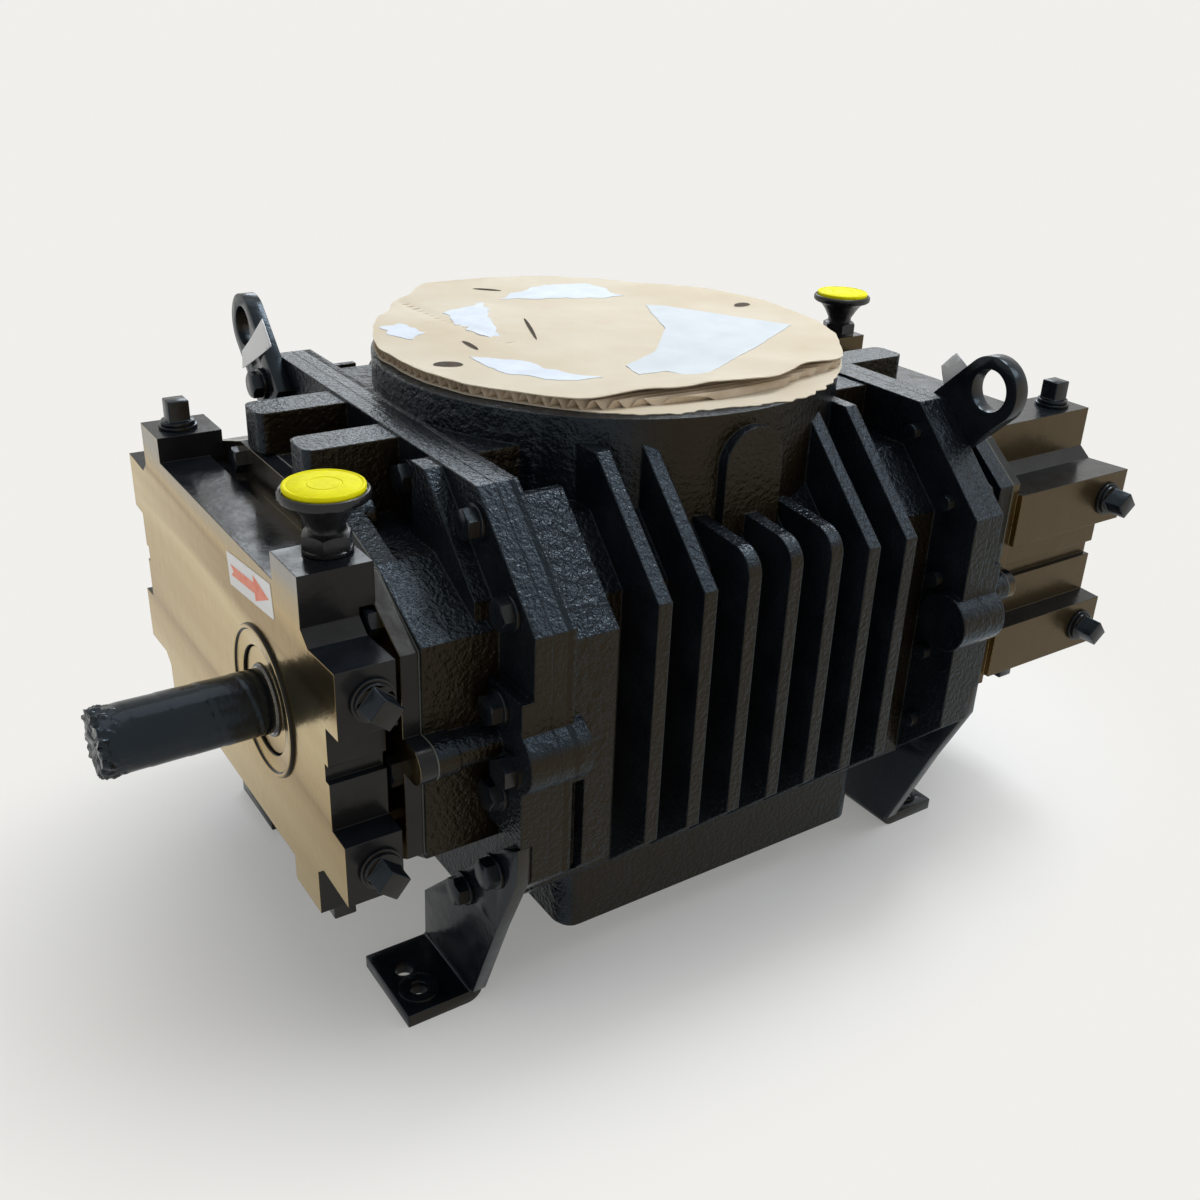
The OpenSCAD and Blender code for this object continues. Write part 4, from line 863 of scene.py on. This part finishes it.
PATCHES = (
    (((-75, 118), (-28, 134), (-46, 90), (-75, 25), (-81, 59)), 2.2*MM, 1.0),
    (((-13, 135), (17, 153), (48, 165), (90, 159), (87, 106), (66, 107), (36, 121),
      (4, 131)), 3*MM, 2.0),
    (((-137, 92), (-119, 97), (-114, 65), (-134, 52), (-140, 77)), 3*MM, 3.0),
    (((-117, -6), (-89, -28), (-80, -65), (-63, -88), (-89, -81), (-115, -47)), 4*MM, 4.0))
LABEL = (
    (((86, 71), (99, 61), (151, -32), (100, -62), (46, -93), (-9, -125), (-16, -96),
      (-37, -96), (-31, -70), (8, -51), (52, -3)), 1.2*MM, 5.0),)
DRAPE_STEP = 6*MM
SLITS = (((-147, -13), (-129, -22), 9), ((150, 36), (166, 36), 8), ((-14, 179), (4, 162), 2.2),
         ((-26, 74), (-51, 13), 2.4), ((-101, 33), (-102, 7), 3.2))


def paper_patch(bm, corners, ragged, seed):
    """A torn sheet from a few corners: its edge is cut finer and roughened."""
    face = bm.faces.new([bm.verts.new((x*MM, y*MM, 0)) for x, y in corners])
    bmesh.ops.subdivide_edges(bm, edges=list(face.edges), cuts=9)
    for point in [v for v in bm.verts if len(v.link_faces) == 1]:
        shift = noise.noise_vector(Vector((point.co.x*90, point.co.y*90, seed)))
        point.co.xy += shift.xy*ragged


def top_height(x, y):
    """Height of the top liner over a place on the cover."""
    place = SimpleNamespace(co=Vector((x, y, TOP_UP)))
    bearing = bearing_of(place.co)
    shape_top(place, place.co.xy.length/board_reach(bearing), bearing)
    return place.co.z


def thin_sheets(name, finish_name, sheets, above, thickness):
    """Thin papers that are cut finely and laid on the top liner."""
    bm = bmesh.new()
    for corners, ragged, seed in sheets:
        paper_patch(bm, corners, ragged, seed)
    for axis in (0, 1):
        low = min(v.co[axis] for v in bm.verts)
        high = max(v.co[axis] for v in bm.verts)
        cut_in_steps(bm, axis, math.floor(low/DRAPE_STEP)*DRAPE_STEP, high, DRAPE_STEP)
    for point in bm.verts:
        point.co.z = top_height(point.co.x, point.co.y) + above
    give_thickness(bm, thickness)
    keep(name, bm, "loose_cover", (finish_name,), sharp=60)


def slits():
    """Cuts and tears in the top liner: a lens painted dark as the shade inside the cut, with a
    raised paper lip round it.
    """
    bm = bmesh.new()
    for (ax, ay), (bx, by), width in SLITS:
        a, b = Vector((ax, ay))*MM, Vector((bx, by))*MM
        middle, along = (a + b)/2, (b - a)
        turn = Matrix.Rotation(math.atan2(along.y, along.x), 2)
        made = bmesh.ops.create_circle(bm, cap_ends=True, segments=20, radius=1.0)["verts"]
        face = made[0].link_faces[0]
        lip = bmesh.ops.inset_region(bm, faces=[face], thickness=0.22)["faces"]
        face.material_index = 1
        inner = set(face.verts)
        for point in {v for f in [face, *lip] for v in f.verts}:
            flat = Vector((point.co.x*along.length/2, point.co.y*width*MM/2))
            spot = middle + turn @ flat
            up = 0.05*MM
            if point in inner:
                up = 0.3*MM + 0.9*MM*max(0.0, point.co.y)
            point.co = (spot.x, spot.y, top_height(spot.x, spot.y) + up)
    keep("cover_slits", bm, "loose_cover", ("liner_paper", "slit_painted_shade"), sharp=60)


liner("cover_top_liner", TOP_UP, -TOP_T, shape_top, ("transport_cover",))
liner("cover_bottom_liner", BOTTOM_UP, BOTTOM_T, shape_bottom)
flutes()
thin_sheets("torn_patches", "torn_paper", PATCHES, 0.35*MM, -0.5*MM)
thin_sheets("plain_label", "label_paper", LABEL, 0.45*MM, -0.6*MM)
slits()


# Direction arrow sticker and paper tags

STICKER_PLACE = Vector((-300.8, -68.5, 305))*MM
STICKER_TURN = -6.5
STICKER_SIZE = (79*MM, 22.5*MM, 1)
STICKER_T = 0.3*MM
ARROW = ((-34, 3.6), (9, 3.6), (9, 8.4), (35, 0), (9, -8.4), (9, -3.6), (-34, -3.6), (-29, 0))
FACE_TO_DRIVE_END = Matrix(((0, 0, -1, 0), (-1, 0, 0, 0), (0, 1, 0, 0), (0, 0, 0, 1)))
CURL_UNDER, CURL_OVER, CURL_OUT = 395*MM, 35*MM, 5.0*MM
TAG_STEP = 5*MM


def sticker():
    bm = bmesh.new()
    made = bmesh.ops.create_grid(bm, x_segments=1, y_segments=1, size=0.5)["verts"]
    bmesh.ops.scale(bm, vec=STICKER_SIZE, verts=made)
    bmesh.ops.bevel(bm, geom=made, offset=1.2*MM, affect="VERTICES", segments=3, profile=0.5,
                    material=-1)
    give_thickness(bm, STICKER_T)
    ink = bm.faces.new([bm.verts.new((x*MM, y*MM, 0.35*MM)) for x, y in ARROW])
    ink.material_index = 1
    bmesh.ops.extrude_face_region(bm, geom=[ink])
    bmesh.ops.translate(bm, verts=list(ink.verts), vec=(0, 0, 0.06*MM))
    pose = (Matrix.Translation(STICKER_PLACE)
            @ Matrix.Rotation(math.radians(STICKER_TURN), 4, "X") @ FACE_TO_DRIVE_END)
    bmesh.ops.transform(bm, matrix=pose, verts=bm.verts)
    keep("arrow_sticker_sheet", bm, "frame", ("sticker_paper", "arrow_ink"),
         ("arrow_sticker",), sharp=40)


def tags():
    """The paper tags on the lifting eyes, which curl away from the eyes at their low end."""
    bm = merged("eye_tags")
    for axis in (1, 2):
        low = min(v.co[axis] for v in bm.verts)
        high = max(v.co[axis] for v in bm.verts)
        cut_in_steps(bm, axis, low + TAG_STEP, high, TAG_STEP)
    for point in bm.verts:
        way = 1 if point.co.x > 0 else -1
        curl = max(0.0, (CURL_UNDER - point.co.z)/CURL_OVER)
        point.co.x += way*(0.2*MM + CURL_OUT*curl*curl
                           + 0.8*MM*max(0.0, noise.noise(point.co*60)))
    keep("eye_tags_curled", bm, "frame", ("sticker_paper",), ("eye_tags",),
         sharp=60)


sticker()
tags()


# Finishes of the nodes that are shown as they are

NODES_WITH = {
    "cast_paint": ("casing", "drive_side_plate", "gear_side_plate"),
    # The lip seal takes the cover's finish, so its end face shows the painted tan reflection too
    "cover_paint": ("drive_oil_cover", "lip_seal"),
    "gear_cover_paint": ("gear_oil_cover",),
    "bolt_paint": ("seal_sleeve", "jacking_screws"),
    "gasket_sheet": ("drive_gasket", "gear_gasket"),
    "bronze": ("seal_bushings",),
    "rotor_iron": ("drive_rotor", "driven_rotor"),
    "cage_brass": ("drive_shaft_rollers", "driven_shaft_rollers", "drive_shaft_balls",
                   "driven_shaft_balls"),
    "bearing_steel": ("drive_end_outer_rings", "gear_end_outer_rings",
                      "drive_shaft_inner_rings", "driven_shaft_inner_rings", "dowel_pins"),
}
FINISH_OF = {node: key for key, nodes in NODES_WITH.items() for node in nodes}
for name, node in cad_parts.items():
    node.data.materials.clear()
    node.data.materials.append(FINISHES[FINISH_OF.get(name, "ground_steel")])
